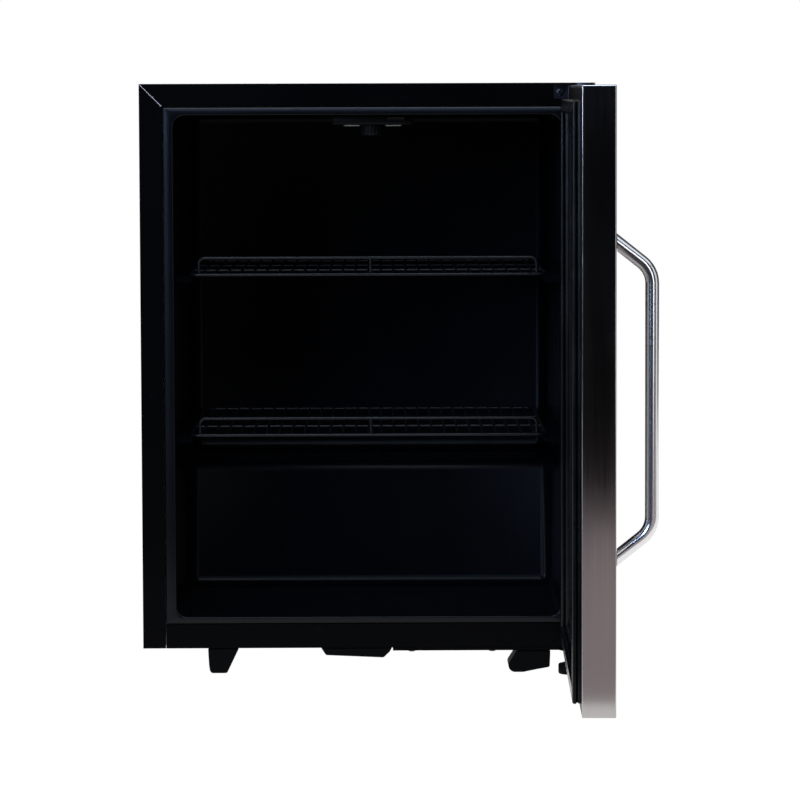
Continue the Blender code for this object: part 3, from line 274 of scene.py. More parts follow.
PAINT = satin_paint("cabinet_paint")
COIL_PAINT = satin_paint("coil_paint", (0.006, 0.006, 0.0065), 0.38, 0.45)
COMPRESSOR_PAINT = satin_paint("compressor_paint", (0.0055, 0.0055, 0.006), 0.22, 0.5)
LINER = moulded_liner()
LIP_GLOSS = moulded_liner("liner_lip_gloss", 0.16)
WIRE_PAINT = satin_paint("wire_paint", (0.004, 0.0044, 0.0055), 0.24, 0.22)
PLASTIC = grained_plastic("moulded_plastic")
SMOOTH_PLASTIC = grained_plastic("smooth_plastic", (0.0035, 0.0035, 0.004), 0.28, 2600)
BUSH_PLASTIC = grained_plastic("bearing_plastic", (0.72, 0.72, 0.69), 0.35, 2200, 0.5)
RUBBER = soft_rubber("foot_rubber")
SEAL_RUBBER = soft_rubber("seal_rubber", (0.0014, 0.0015, 0.0018), 0.22, 0.20)
print("ten black finishes and one white one")

# %% [markdown]
# ## Metals
#
# Brushed stainless steel is a mirror scratched in one direction. The scratches are finer than
# the eye can part, so a noise squeezed hard along the brushing gives long thin streaks that drive
# both roughness and bump. Galvanised sheet has frosty crystals, which a Voronoi texture gives.
# Copper darkens in blotches where hands and heat have been.

# %% Steel, zinc, copper and aluminium
def brushed_steel(name, along, rough=0.125, colour=(0.50, 0.475, 0.47)):
    """Along is the squeeze on each axis; a small number runs the streaks that way."""
    made = Finish(name, colour, Metallic=1.0)
    lines = made.noise(1400, 2, along, 0.6)
    broad = made.noise(140, 3, along, 0.5)
    smears = made.band(made.noise(9, 4), 0.45, 0.8)
    made.feed("Roughness", lines * 0.07 + broad * 0.04 + smears * 0.03 + (rough - 0.07))
    made.tint(broad * 0.45, tuple(c * 0.78 for c in colour))
    made.bump(lines, 0.06, 0.00005)
    return made.material


def galvanised():
    made = Finish("galvanised_sheet", (0.42, 0.43, 0.44), Metallic=1.0)
    crystals = made.node("ShaderNodeTexVoronoi", {"feature": "F1"}, {
        "Vector": made.place(), "Scale": 95}, out="Color")
    level = made.node("ShaderNodeRGBToBW", inputs={"Color": crystals})
    dirt = made.band(made.noise(14, 5), 0.5, 0.85)
    made.feed("Roughness", level * 0.22 + dirt * 0.2 + 0.30)
    made.tint(level * 0.5, (0.28, 0.29, 0.31))
    return made.material


def bright_zinc():
    made = Finish("bright_zinc", (0.66, 0.66, 0.67), Metallic=1.0)
    marks = made.noise(300, 4)
    made.feed("Roughness", marks * 0.16 + 0.10)
    made.tint(made.band(made.noise(60, 3), 0.5, 0.8) * 0.5, (0.52, 0.51, 0.50))
    made.bump(marks, 0.08, 0.0002)
    return made.material


def aged_copper():
    made = Finish("aged_copper", (0.66, 0.33, 0.19), Metallic=1.0)
    blotches = made.band(made.noise(45, 6), 0.42, 0.72)
    made.feed("Roughness", blotches * 0.28 + 0.22)
    made.tint(blotches * 0.8, (0.25, 0.11, 0.07))
    return made.material


def milky_lens():
    made = Finish("milky_lens", (0.80, 0.81, 0.78), Roughness=0.28, Transmission_Weight=0.25)
    ripple = made.noise(700, 1)
    made.tint(ripple * 0.2, (0.66, 0.67, 0.64))
    made.bump(ripple, 0.1, 0.0002)
    return made.material


def smoked_glass():
    made = Finish("smoked_glass", (0.010, 0.011, 0.012), Alpha=0.42, Coat_Weight=0.6,
                  Coat_Roughness=0.02)
    smear = made.band(made.noise(12, 4, (1, 1, 0.6)), 0.5, 0.85)
    made.feed("Roughness", smear * 0.05 + 0.03)
    made.bump(made.noise(6, 1), 0.015, 0.0002)
    return made.material


def pale_foam():
    made = Finish("pale_foam", (0.66, 0.56, 0.34), Roughness=0.9)
    cells = made.noise(420, 3)
    made.tint(cells * 0.6, (0.48, 0.38, 0.20))
    made.bump(cells, 0.5, 0.001)
    return made.material


UPRIGHT = brushed_steel("brushed_upright", (1, 1, 0.010))
BARE_EDGE = brushed_steel("bare_edge", (1, 1, 1), 0.40, (0.62, 0.62, 0.66))
DARK_STEEL = brushed_steel("dark_steel", (1, 1, 1), 0.30, (0.045, 0.045, 0.055))
HANDLE_STEEL = brushed_steel("brushed_handle", (1, 1, 0.03), 0.19, (0.80, 0.80, 0.81))
GALVANISED = galvanised()
ZINC = bright_zinc()
COPPER = aged_copper()
ALUMINIUM = brushed_steel("spacer_aluminium", (1, 1, 0.05), 0.34, (0.66, 0.67, 0.68))
LENS_MILK = milky_lens()
GLASS = smoked_glass()
FOAM = pale_foam()
FINISH_OF_SLOT = {
    "cabinet_steel": PAINT, "raw_steel": GALVANISED, "stainless": UPRIGHT, "chrome": ZINC,
    "liner_plastic": LINER, "black_plastic": PLASTIC, "seal_rubber": SEAL_RUBBER,
    "foot_rubber": RUBBER, "foam": FOAM, "glass": GLASS, "lens": LENS_MILK,
    "bush_plastic": BUSH_PLASTIC, "aluminium": ALUMINIUM, "copper": COPPER,
    "compressor_paint": COMPRESSOR_PAINT, "shelf_wire": COIL_PAINT,
}
print(f"{len(FINISH_OF_SLOT)} slots have a finish")

# %% [markdown]
# ## Making pieces
#
# Most pieces here come from five moves: copy a frame node and soften its edges, turn a profile,
# bend a wire, build small boxes or sweep a profile round a ring. Each helper ends in `add_piece`, which
# names the piece, gives it a finish and makes it ride with the right body, so that no piece is
# left behind when a joint moves.

# %% Helpers for pieces
def add_piece(name, data, finish, body, stands_for=(), swing=False):
    """Put new mesh or curve data in the scene, riding on a body of the frame."""
    made = bpy.data.objects.new(name, data)
    bpy.context.scene.collection.objects.link(made)
    data.materials.clear()
    data.materials.append(finish)
    if swing:
        data.transform(SWING)
    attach(made, body)
    if stands_for:
        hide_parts(*stands_for)
    return made


def soften(made, width, segments=2, angle=32):
    """Round a piece's edges and let its flat faces keep their own shading."""
    if width:
        tool = made.modifiers.new("edges", "BEVEL")
        tool.width = width
        tool.segments = segments
        tool.limit_method = "ANGLE"
        tool.angle_limit = math.radians(angle)
        tool.harden_normals = True
        tool.use_clamp_overlap = True
    return made


def mesh_of(shape, name, smooth=35):
    """Turn a bmesh into a mesh, smooth below an angle in degrees."""
    mesh = bpy.data.meshes.new(name)
    shape.to_mesh(mesh)
    shape.free()
    mesh.shade_smooth()
    mesh.set_sharp_from_angle(angle=math.radians(smooth))
    return mesh


def clean_copy(node):
    """A node's own shape as a bmesh, with its split corners joined again."""
    shape = bmesh.new()
    shape.from_mesh(frame["nodes"][node].data)
    bmesh.ops.remove_doubles(shape, verts=shape.verts, dist=0.00001)
    bmesh.ops.dissolve_limit(shape, angle_limit=math.radians(1), verts=shape.verts,
                             edges=shape.edges)
    return shape


def refine(node, edge=0.0004, finish=None, segments=2, smooth=35):
    """Stand a cleaned copy with softened edges in for a frame node."""
    shape = clean_copy(node)
    mesh = bpy.data.meshes.new(node + "_skin")
    shape.to_mesh(mesh)
    shape.free()
    if "custom_normal" in mesh.attributes:
        mesh.attributes.remove(mesh.attributes["custom_normal"])
    mesh.shade_smooth()
    mesh.set_sharp_from_angle(angle=math.radians(smooth))
    slot = SLOT_OF[node]
    made = add_piece(node + "_skin", mesh, finish or FINISH_OF_SLOT[slot], BODY_OF[node],
                     [node])
    return soften(made, edge, segments)


def box_into(shape, low, high):
    """Add a box between two corners to a bmesh and return its corners."""
    low, high = Vector(low), Vector(high)
    made = bmesh.ops.create_cube(shape, size=1)["verts"]
    bmesh.ops.scale(shape, vec=high - low, verts=made)
    bmesh.ops.translate(shape, vec=(low + high) / 2, verts=made)
    return made


def boxes(name, corner_pairs, finish, body, edge=0.0003, swing=False, stands_for=()):
    """One piece of several small boxes."""
    shape = bmesh.new()
    for low, high in corner_pairs:
        box_into(shape, low, high)
    made = add_piece(name, mesh_of(shape, name), finish, body, stands_for, swing)
    return soften(made, edge)


def turn_into(shape, profile, centre, axis="Z", steps=48, ripple=None):
    """Add a turned solid to a bmesh. Profile points are (radius, height) from one end of the
    axis to the other; ripple(angle) scales the radius where given."""
    turn = {"Z": Matrix.Identity(3), "Y": Matrix.Rotation(math.radians(90), 3, "X"),
            "X": Matrix.Rotation(math.radians(90), 3, "Y")}[axis]
    rings = []
    for radius, height in profile:
        if radius < 1e-7:
            rings.append([shape.verts.new(turn @ Vector((0, 0, height)) + Vector(centre))])
            continue
        ring = []
        for i in range(steps):
            angle = 2 * math.pi * i / steps
            reach = radius * (ripple(angle) if ripple else 1)
            point = Vector((reach * math.cos(angle), reach * math.sin(angle), height))
            ring.append(shape.verts.new(turn @ point + Vector(centre)))
        rings.append(ring)
    faces = []
    for first, second in zip(rings, rings[1:]):
        for i in range(steps):
            j = (i + 1) % steps
            corners = [first[i % len(first)], first[j % len(first)],
                       second[j % len(second)], second[i % len(second)]]
            kept = list(dict.fromkeys(corners))
            if len(kept) > 2:
                faces.append(shape.faces.new(kept))
    for ring in (rings[0], rings[-1]):
        if len(ring) > 1:
            faces.append(shape.faces.new(ring))
    bmesh.ops.recalc_face_normals(shape, faces=faces)


def turned(name, profile, centre, finish, body, stands_for=(), axis="Z", steps=48,
           ripple=None, swing=False, smooth=35):
    shape = bmesh.new()
    turn_into(shape, profile, centre, axis, steps, ripple)
    return add_piece(name, mesh_of(shape, name, smooth), finish, body, stands_for, swing)


def bent(points, radius, steps=8):
    """A polyline with its corners turned into arcs of one radius."""
    points = [Vector(p) for p in points]
    out = [points[0]]
    for before, corner, after in zip(points, points[1:], points[2:]):
        back = (before - corner).normalized()
        on = (after - corner).normalized()
        half = back.angle(on) / 2
        centre = corner + (back + on).normalized() * (radius / math.sin(half))
        first = corner + back * (radius / math.tan(half)) - centre
        last = corner + on * (radius / math.tan(half)) - centre
        axis = first.cross(last).normalized()
        turn = first.angle(last)
        for i in range(steps + 1):
            out.append(centre + Matrix.Rotation(turn * i / steps, 3, axis) @ first)
    out.append(points[-1])
    return out


def wires(name, runs, finish, body, stands_for=(), swing=False, round_steps=4):
    """Round wires or pipes. Each run is (points, radius, closed)."""
    curve = bpy.data.curves.new(name, "CURVE")
    curve.dimensions = "3D"
    curve.bevel_depth = 0.001
    curve.bevel_resolution = round_steps
    curve.use_fill_caps = True
    for points, radius, closed in runs:
        spline = curve.splines.new("POLY")
        spline.points.add(len(points) - 1)
        spline.use_cyclic_u = closed
        spline.use_smooth = True
        for target, point in zip(spline.points, points):
            target.co = (*point, 1)
            target.radius = radius / curve.bevel_depth
    return add_piece(name, curve, finish, body, stands_for, swing)


def screw_head(name, centre, axis, radius, height, finish, body, stands_for=(), length=0):
    """A pan-head screw with a cross recess; axis is the way the head faces."""
    shape = bmesh.new()
    profile = [(0, height), (radius * 0.55, height), (radius * 0.88, height * 0.72),
               (radius, height * 0.3), (radius, 0)]
    if length:
        profile += [(radius * 0.5, 0), (radius * 0.5, -length * 0.85), (radius * 0.3, -length),
                    (0, -length)]
    else:
        profile += [(0, 0)]
    turn_into(shape, profile, (0, 0, 0), steps=32)
    turn = Vector((0, 0, 1)).rotation_difference(Vector(axis)).to_matrix().to_4x4()
    where = Matrix.Translation(centre) @ turn
    bmesh.ops.transform(shape, matrix=where, verts=shape.verts)
    made = add_piece(name, mesh_of(shape, name), finish, body, stands_for)
    recess = bmesh.new()
    arm, slot_width, deep = radius * 0.55, radius * 0.16, height * 0.55
    box_into(recess, (-arm, -slot_width, height - deep), (arm, slot_width, height * 2))
    box_into(recess, (-slot_width, -arm, height - deep), (slot_width, arm, height * 2))
    bmesh.ops.transform(recess, matrix=where, verts=recess.verts)
    return carve(made, recess)


def carve(made, shape):
    """Cut a bmesh of closed shapes out of a piece, and keep only the result."""
    mesh = bpy.data.meshes.new("cutter")
    bmesh.ops.recalc_face_normals(shape, faces=shape.faces)
    shape.to_mesh(mesh)
    shape.free()
    cutter = bpy.data.objects.new("cutter", mesh)
    bpy.context.scene.collection.objects.link(cutter)
    tool = made.modifiers.new("cut", "BOOLEAN")
    tool.object = cutter
    tool.solver = "EXACT"
    tool.use_self = True
    bpy.context.view_layer.update()
    seen = made.evaluated_get(bpy.context.evaluated_depsgraph_get())
    result = bpy.data.meshes.new_from_object(seen)
    made.modifiers.remove(tool)
    made.data = result
    bpy.data.objects.remove(cutter)
    return made


print("helpers ready")

# %% [markdown]
# ## Rings
#
# A door skin, a gasket and a liner's lip are all one section carried round a rectangle. So one
# helper makes an upright rounded rectangle as a loop of points, and another stretches a skin
# from loop to loop. Every loop has the same number of points, even where its corner is sharp,
# so a rounded loop can be joined to a mitred one. A flat side meets tiny corner faces, and plain
# smoothing would tilt its shading along the whole side. Weighting by area keeps flat sides flat.

# %% Ring helpers
def upright(low, high, y, corner=0.0002, steps=6):
    """A rounded rectangle in a plane of one y, as points; low and high are (x, z)."""
    out = []
    corner = max(corner, 0.0001)
    centres = [(high[0] - corner, high[1] - corner, 0), (low[0] + corner, high[1] - corner, 90),
               (low[0] + corner, low[1] + corner, 180), (high[0] - corner, low[1] + corner, 270)]
    for x, z, start in centres:
        for i in range(steps + 1):
            angle = math.radians(start + 90 * i / steps)
            out.append(Vector((x + corner * math.cos(angle), y, z + corner * math.sin(angle))))
    return out


def loft(name, loops, finish, body, slot, stands_for=(), swing=False, closed=True, smooth=35):
    """Skin a list of loops; closed joins the last loop to the first."""
    shape = bmesh.new()
    rows = [[shape.verts.new(p) for p in loop] for loop in loops]
    pairs = list(zip(rows, rows[1:] + rows[:1])) if closed else list(zip(rows, rows[1:]))
    for first, second in pairs:
        for i in range(len(first)):
            j = (i + 1) % len(first)
            shape.faces.new((first[i], first[j], second[j], second[i]))
    bmesh.ops.recalc_face_normals(shape, faces=shape.faces)
    made = add_piece(name, mesh_of(shape, name, smooth), finish, body, stands_for, swing)
    flat = made.modifiers.new("flat", "WEIGHTED_NORMAL")
    flat.keep_sharp = True
    return made


def ring(name, low, high, section, finish, body, slot, corner=0.0, **rest):
    """Carry a closed section of (inward, y) points round a rectangle of (x, z) corners."""
    loops = [upright((low[0] + inward, low[1] + inward), (high[0] - inward, high[1] - inward), y,
                     corner - inward) for inward, y in section]
    return loft(name, loops, finish, body, slot, **rest)


def arc_of(centre, radius, start, end, steps=5):
    """Points of an arc in (inward, y), angles in degrees."""
    return [(centre[0] + radius * math.cos(math.radians(start + (end - start) * i / steps)),
             centre[1] + radius * math.sin(math.radians(start + (end - start) * i / steps)))
            for i in range(steps + 1)]


print("ring helpers ready")

# %% [markdown]
# ## Cabinet shell
#
# The wrapper is one sheet folded over the top and both sides, with a flange folded in round the
# opening. Folded steel never has a sharp corner, so the copy gets a bend radius of about its own
# thickness, which is what catches the light along every edge. At the two upper corners the
# flange is mitred, and a real mitre is closed with a fine bead that stands just proud.

# %% Wrapper, panels and rail
for node in ("cabinet_wrapper", "back_panel", "base_rail", "base_pan", "machine_tray",
             "bottom_hinge_plate"):
    refine(node, 0.0006, segments=3)

LINER_LOW, LINER_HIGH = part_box("inner_liner")
FLANGE = CABINET_HIGH.x - LINER_HIGH.x
for hand, sign in (("left", -1), ("right", 1)):
    corner = Vector((CABINET_LOW.x if sign < 0 else CABINET_HIGH.x, FRONT + 0.0002, TOP))
    inner = corner + Vector((-sign * FLANGE, 0, -FLANGE))
    start, end = corner.lerp(inner, 0.03), corner.lerp(inner, 0.97)
    wires(f"mitre_bead_{hand}", [([start, start.lerp(end, 0.5), end], 0.00042, False)],
          BARE_EDGE, "cabinet")

PANEL_LOW, PANEL_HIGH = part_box("back_panel")
PANEL_SCREWS = 14  # in two columns
for index in range(PANEL_SCREWS):
    side = index % 2
    rise = PANEL_LOW.z + 0.02 + (index // 2) * (PANEL_HIGH.z - PANEL_LOW.z - 0.04) / 6
    x = PANEL_LOW.x + 0.008 if side else PANEL_HIGH.x - 0.008
    screw_head(f"panel_screw_{index + 1}", (x, PANEL_HIGH.y, rise), (0, 1, 0), 0.0034, 0.0017,
               ZINC, "cabinet")
RIB = 0.0008  # how far a pressed rib stands off the panel
SWAGE = (PANEL_HIGH.z - PANEL_LOW.z) * 0.84
for index, share in enumerate((0.09, 0.91)):
    x = PANEL_LOW.x + share * (PANEL_HIGH.x - PANEL_LOW.x)
    middle = (PANEL_LOW.z + PANEL_HIGH.z) / 2
    loops = [upright((x - half, middle - SWAGE / 2 - half), (x + half, middle + SWAGE / 2 + half),
                     PANEL_HIGH.y + lift, half * 0.98) for half, lift in
             ((0.0080, -0.0002), (0.0070, 0.0001), (0.0052, 0.0007), (0.0040, RIB),
              (0.0006, RIB))]
    loft(f"panel_swage_{index + 1}", loops, PAINT, "cabinet", "cabinet_steel", closed=False)
print("cabinet shell dressed")

# %% [markdown]
# ## Liner
#
# The liner is drawn from one sheet of plastic, so its inner corners are generous. Its lip is
# pulled tight over the foam and stands slightly domed between the steel and the hollow, and the
# dome is why the lip shows a bright line along its outer edge and fades towards the hollow. The
# dome is skinned from a mitred loop against the flange to a rounded loop round the opening.

# %% Liner, foam and cold plate
LIP_FACE = LINER_LOW.y
LIP_SINK = 0.0011  # the plain lip is set back by this, under the dome
liner = refine("inner_liner", 0, smooth=40)
for corner in liner.data.vertices:
    if corner.co.y < LIP_FACE + 0.0002:
        corner.co.y += LIP_SINK
refine("insulation_foam", 0)
refine("evaporator_plate", 0.0003, ALUMINIUM)
refine("drain_tube", 0.0002)

RAIL_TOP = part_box("base_rail")[1].z
LIP_SIDE, LIP_TOP, LIP_BOTTOM = 0.011, 0.0085, 0.0075  # widths that show
MOUTH_CORNER = 0.012
OUTER_LOW = (LINER_LOW.x + 0.0002, RAIL_TOP + 0.0002)
OUTER_HIGH = (LINER_HIGH.x - 0.0002, LINER_HIGH.z - 0.0002)
INNER_LOW = (LINER_LOW.x + LIP_SIDE, RAIL_TOP + LIP_BOTTOM)
INNER_HIGH = (LINER_HIGH.x - LIP_SIDE, LINER_HIGH.z - LIP_TOP)


def lip_loop(share, lift):
    """A loop part of the way from the flange to the hollow, lifted off the liner's face."""
    low = [a + (b - a) * share for a, b in zip(OUTER_LOW, INNER_LOW)]
    high = [a + (b - a) * share for a, b in zip(OUTER_HIGH, INNER_HIGH)]
    return upright(low, high, LIP_FACE - lift, MOUTH_CORNER * max(share, 0) ** 1.5, 8)


LIP_SHAPE = [(0.0, -0.0013), (0.0, -0.00104), (0.03, -0.00066), (0.08, -0.00044),
             (0.16, -0.00020), (0.26, 0.00003), (0.38, 0.00023), (0.50, 0.00038), (0.64, 0.00049),
             (0.78, 0.00054), (0.88, 0.00050), (0.94, 0.00034), (0.98, 0.00006), (1.0, -0.0004),
             (1.01, -0.0014)]
loft("liner_lip", [lip_loop(share, lift) for share, lift in LIP_SHAPE], LIP_GLOSS, "cabinet",
     "liner_plastic", closed=False, smooth=60)
print("liner in place, lip", round(1000 * max(lift for _, lift in LIP_SHAPE), 2), "mm proud")

# %% [markdown]
# ## Door
#
# The door's skin is folded steel. Its front edges are folded as tight as the sheet allows, and its
# rear edge is hemmed, which means folded back on itself so that no sharp edge can cut a hand.
# A hem is round, so it shows a bright line down the whole door. The skin's section is carried
# round the door's outline and mitred at the corners.

# %% Door skin
BACK, FACE = DOOR_HIGH.y, DOOR_LOW.y
SKIN, BORDER, ROLL_EDGE, HEM = 0.0015, 0.045, 0.0013, 0.0009
OUT_LOW, OUT_HIGH = (DOOR_LOW.x, DOOR_LOW.z), (DOOR_HIGH.x, DOOR_HIGH.z)
section = [(HEM + 0.0004, BACK - 2 * HEM)]
section += arc_of((HEM, BACK - HEM), HEM, 60, 180, 7)
section += [(0.00012, BACK - 1.7 * HEM), (0.00012, BACK - 0.0022)]
section += arc_of((ROLL_EDGE, FACE + ROLL_EDGE), ROLL_EDGE, 180, 270, 8)
section += arc_of((BORDER - 0.0008, FACE + 0.0008), 0.0008, 270, 360, 3)
section += [(BORDER, FACE + SKIN), (SKIN + 0.002, FACE + SKIN), (SKIN, FACE + SKIN + 0.002),
            (SKIN, BACK - 2 * HEM)]
ring("door_skin", OUT_LOW, OUT_HIGH, section, UPRIGHT, "door", "stainless", corner=0.0012,
     stands_for=["door_frame"], swing=True, smooth=50)
hem = upright((OUT_LOW[0] + HEM, OUT_LOW[1] + HEM), (OUT_HIGH[0] - HEM, OUT_HIGH[1] - HEM),
              BACK - HEM, 0.0006)
wires("door_hem", [(hem, HEM, True)], BARE_EDGE, "door", swing=True)
print(f"door skin of {len(section)} section points")

# %% [markdown]
# ## Door seal
#
# A magnetic gasket is an extruded hollow rubber: a root pressed into the door, a soft bellows,
# and a flat bag that holds the magnet and meets the cabinet. Its corners are welded mitres. The
# bag's rounded shoulders are what show as fine bright lines, and the bellows is a groove.

# %% Seal
SEAL_LOW, SEAL_HIGH = shut_box("door_seal")
FAR, NEAR = SEAL_HIGH.y, SEAL_LOW.y
WIDE = 0.014  # across the bag
section = arc_of((0.0024, FAR - 0.0024), 0.0024, 180, 90, 5)
section += [(WIDE * 0.30, FAR), (WIDE * 0.36, FAR - 0.0003), (WIDE * 0.64, FAR - 0.0003),
            (WIDE * 0.70, FAR)]
section += arc_of((WIDE - 0.0024, FAR - 0.0024), 0.0024, 90, 0, 5)
section += [(WIDE, FAR - 0.0034), (WIDE - 0.0012, FAR - 0.0042), (WIDE - 0.0014, FAR - 0.0052),
            (WIDE - 0.0004, FAR - 0.0060), (WIDE - 0.0002, NEAR), (0.0002, NEAR),
            (0.0004, FAR - 0.0060), (0.0014, FAR - 0.0052), (0.0012, FAR - 0.0042),
            (0, FAR - 0.0034)]
ring("gasket", (SEAL_LOW.x, SEAL_LOW.z), (SEAL_HIGH.x, SEAL_HIGH.z), section, SEAL_RUBBER,
     "door", "seal_rubber", corner=0.0022, stands_for=["door_seal"], swing=True, smooth=50)
around = 2 * (SEAL_HIGH.x - SEAL_LOW.x + SEAL_HIGH.z - SEAL_LOW.z)
print(f"seal carried round {around:.3f} m")

# %% [markdown]
# ## Glazing
#
# The inner pane carries a fired-on black border that hides the glue and the spacer. It is a thin
# layer of its own, laid just off the glass, so the edge of the clear part is crisp.

# %% Glass and its border
for node in ("outer_glass", "inner_glass"):
    refine(node, 0.0006, GLASS)
PANE_LOW, PANE_HIGH = shut_box("inner_glass")
BAND = 0.016
section = [(0.0008, PANE_HIGH.y + 0.00005), (BAND, PANE_HIGH.y + 0.00005),
           (BAND, PANE_HIGH.y + 0.00016), (0.0008, PANE_HIGH.y + 0.00016)]
ring("printed_border", (PANE_LOW.x, PANE_LOW.z), (PANE_HIGH.x, PANE_HIGH.z), section,
     SMOOTH_PLASTIC, "door", "glass", swing=True)
refine("glass_spacer", 0.0003, ALUMINIUM)
refine("door_core", 0.0008)
print(f"border {1000 * BAND:.0f} mm wide")

# %% [markdown]
# ## Handle
#
# The handle is one bent tube, so it keeps the frame's own shape with smooth shading, and its
# finish is brushed along the bar. Each foot stands in a turned black collar.

# %% Handle
refine("handle", 0, HANDLE_STEEL, smooth=60)
for node in ("upper_handle_boss", "lower_handle_boss"):
    refine(node, 0.0003, smooth=50)
print("handle dressed")

# %% [markdown]
# ## Wire shelves
#
# A shelf is round wire: a frame bent from thick wire with the thin wires welded across it, and
# two bars under them to stop them sagging. Every wire here is a real round rod, because a flat
# bar never shows the bright line that runs along a wire. The front guard is bent from one wire.

# %% Shelves and guards
THIN_WIRE = 0.00125
BAR = 0.0012
GUARD_WIRE = 0.0017
WIRE_PITCH = 0.013


def wire_shelf(level):
    low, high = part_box(f"{level}_shelf")
    thick = (high.z - low.z) / 2
    middle = (low.z + high.z) / 2
    edge = [Vector((low.x + thick, low.y + thick, middle)),
            Vector((high.x - thick, low.y + thick, middle)),
            Vector((high.x - thick, high.y - thick, middle)),
            Vector((low.x + thick, high.y - thick, middle))]
    start = edge[0].lerp(edge[1], 0.5)
    runs = [(bent([start, edge[1], edge[2], edge[3], edge[0], start], 0.009), thick, False)]
    count = round((high.x - low.x) / WIRE_PITCH) - 1
    for i in range(1, count):
        x = low.x + (high.x - low.x) * i / count
        z = high.z - THIN_WIRE
        runs.append(([Vector((x, low.y + thick, z)), Vector((x, (low.y + high.y) / 2, z)),
                      Vector((x, high.y - thick, z))], THIN_WIRE, False))
    for share in (0.34, 0.67):
        y = low.y + (high.y - low.y) * share
        z = low.z + BAR
        runs.append(([Vector((low.x + thick, y, z)), Vector((MIDDLE_X, y, z)),
                      Vector((high.x - thick, y, z))], BAR, False))
    wires(f"{level}_shelf_wires", runs, WIRE_PAINT, BODY_OF[f"{level}_shelf"],
          [f"{level}_shelf"])
    return count


def wire_guard(level):
    low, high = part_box(f"{level}_shelf_guard")
    y = (low.y + high.y) / 2
    left, right = low.x + GUARD_WIRE, high.x - GUARD_WIRE
    top = high.z - GUARD_WIRE
    foot = low.z - 0.0001
    runs = [(bent([Vector((left, y, foot)), Vector((left, y, top)), Vector((right, y, top)),
                   Vector((right, y, foot))], 0.006), GUARD_WIRE, False)]
    posts = [p.co for p in frame["nodes"][f"{level}_shelf_guard"].data.vertices
             if abs(p.co.x - MIDDLE_X) < 0.03]
    x = (min(p.x for p in posts) + max(p.x for p in posts)) / 2
    runs.append(([Vector((x, y, foot)), Vector((x, y, (foot + top) / 2)), Vector((x, y, top))],
                 GUARD_WIRE, False))
    wires(f"{level}_guard_wire", runs, WIRE_PAINT, BODY_OF[f"{level}_shelf_guard"],
          [f"{level}_shelf_guard"])
    return x


for level in ("upper", "lower"):
    print(level, "shelf has", wire_shelf(level), "bays, post at x", round(wire_guard(level), 4))

# %% [markdown]
# ## Controls
#
# The housing hangs from the ceiling, so its details face down and forwards: louvres that let the
# lamp's warmth out, a ribbed lens, a knob with grip ridges and a pointer, and a plain rocker with
# no lettering.

# %% Housing, lens, knob and rocker
refine("control_housing", 0.0012, segments=3)
HOUSE_LOW, HOUSE_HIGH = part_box("control_housing")
refine("lamp_lens", 0.0003)
LENS_LOW, LENS_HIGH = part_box("lamp_lens")
LENS_RIBS, LOUVRE_ROWS = 15, 6
ribs = []
for i in range(LENS_RIBS):
    x = LENS_LOW.x + 0.003 + (LENS_HIGH.x - LENS_LOW.x - 0.006) * i / (LENS_RIBS - 1)
    ribs.append(((x - 0.0006, LENS_LOW.y + 0.002, LENS_LOW.z - 0.0005),
                 (x + 0.0006, LENS_HIGH.y - 0.002, LENS_LOW.z + 0.0002)))
boxes("lens_ribs", ribs, LENS_MILK, "cabinet", 0.0003)
louvres = []
for i in range(LOUVRE_ROWS):
    for end, sign in ((HOUSE_LOW.x, 1), (HOUSE_HIGH.x, -1)):
        y = LENS_LOW.y + 0.006 + i * 0.008
        x = sorted((end - sign * 0.0006, end + sign * 0.0006))
        louvres.append(((x[0], y, HOUSE_LOW.z + 0.003), (x[1], y + 0.003, HOUSE_HIGH.z - 0.002)))
boxes("louvres", louvres, PLASTIC, "cabinet", 0.0003)

KNOB_LOW, KNOB_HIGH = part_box("thermostat_knob")
knob = (KNOB_LOW + KNOB_HIGH) / 2
reach = (KNOB_HIGH.x - KNOB_LOW.x) / 2
profile = [(0, KNOB_LOW.z), (reach * 0.72, KNOB_LOW.z), (reach * 0.90, KNOB_LOW.z + 0.0004),
           (reach * 0.97, KNOB_LOW.z + 0.0016), (reach, KNOB_HIGH.z - 0.002),
           (reach, KNOB_HIGH.z), (0, KNOB_HIGH.z)]
turned("knob_grip", profile, (knob.x, knob.y, 0), PLASTIC, BODY_OF["thermostat_knob"],
       ["thermostat_knob"], steps=144,
       ripple=lambda angle: 1 - 0.03 * (1 + math.cos(24 * angle)) / 2)
boxes("knob_pointer", [((knob.x - 0.0008, knob.y - reach * 0.9, KNOB_LOW.z - 0.0004),
                        (knob.x + 0.0008, knob.y - reach * 0.2, KNOB_LOW.z + 0.001))],
      SMOOTH_PLASTIC, BODY_OF["thermostat_knob"])
refine("light_switch_rocker", 0.0004)
print(f"knob reach {1000 * reach:.1f} mm, {len(ribs)} lens ribs, {len(louvres)} louvres")

# %% [markdown]
# ## Hinges
#
# Both brackets are thick pressed steel, so their edges are rounded by the press. Pan-head screws
# with a cross recess hold them, blackened like the bracket so that they do not glint.

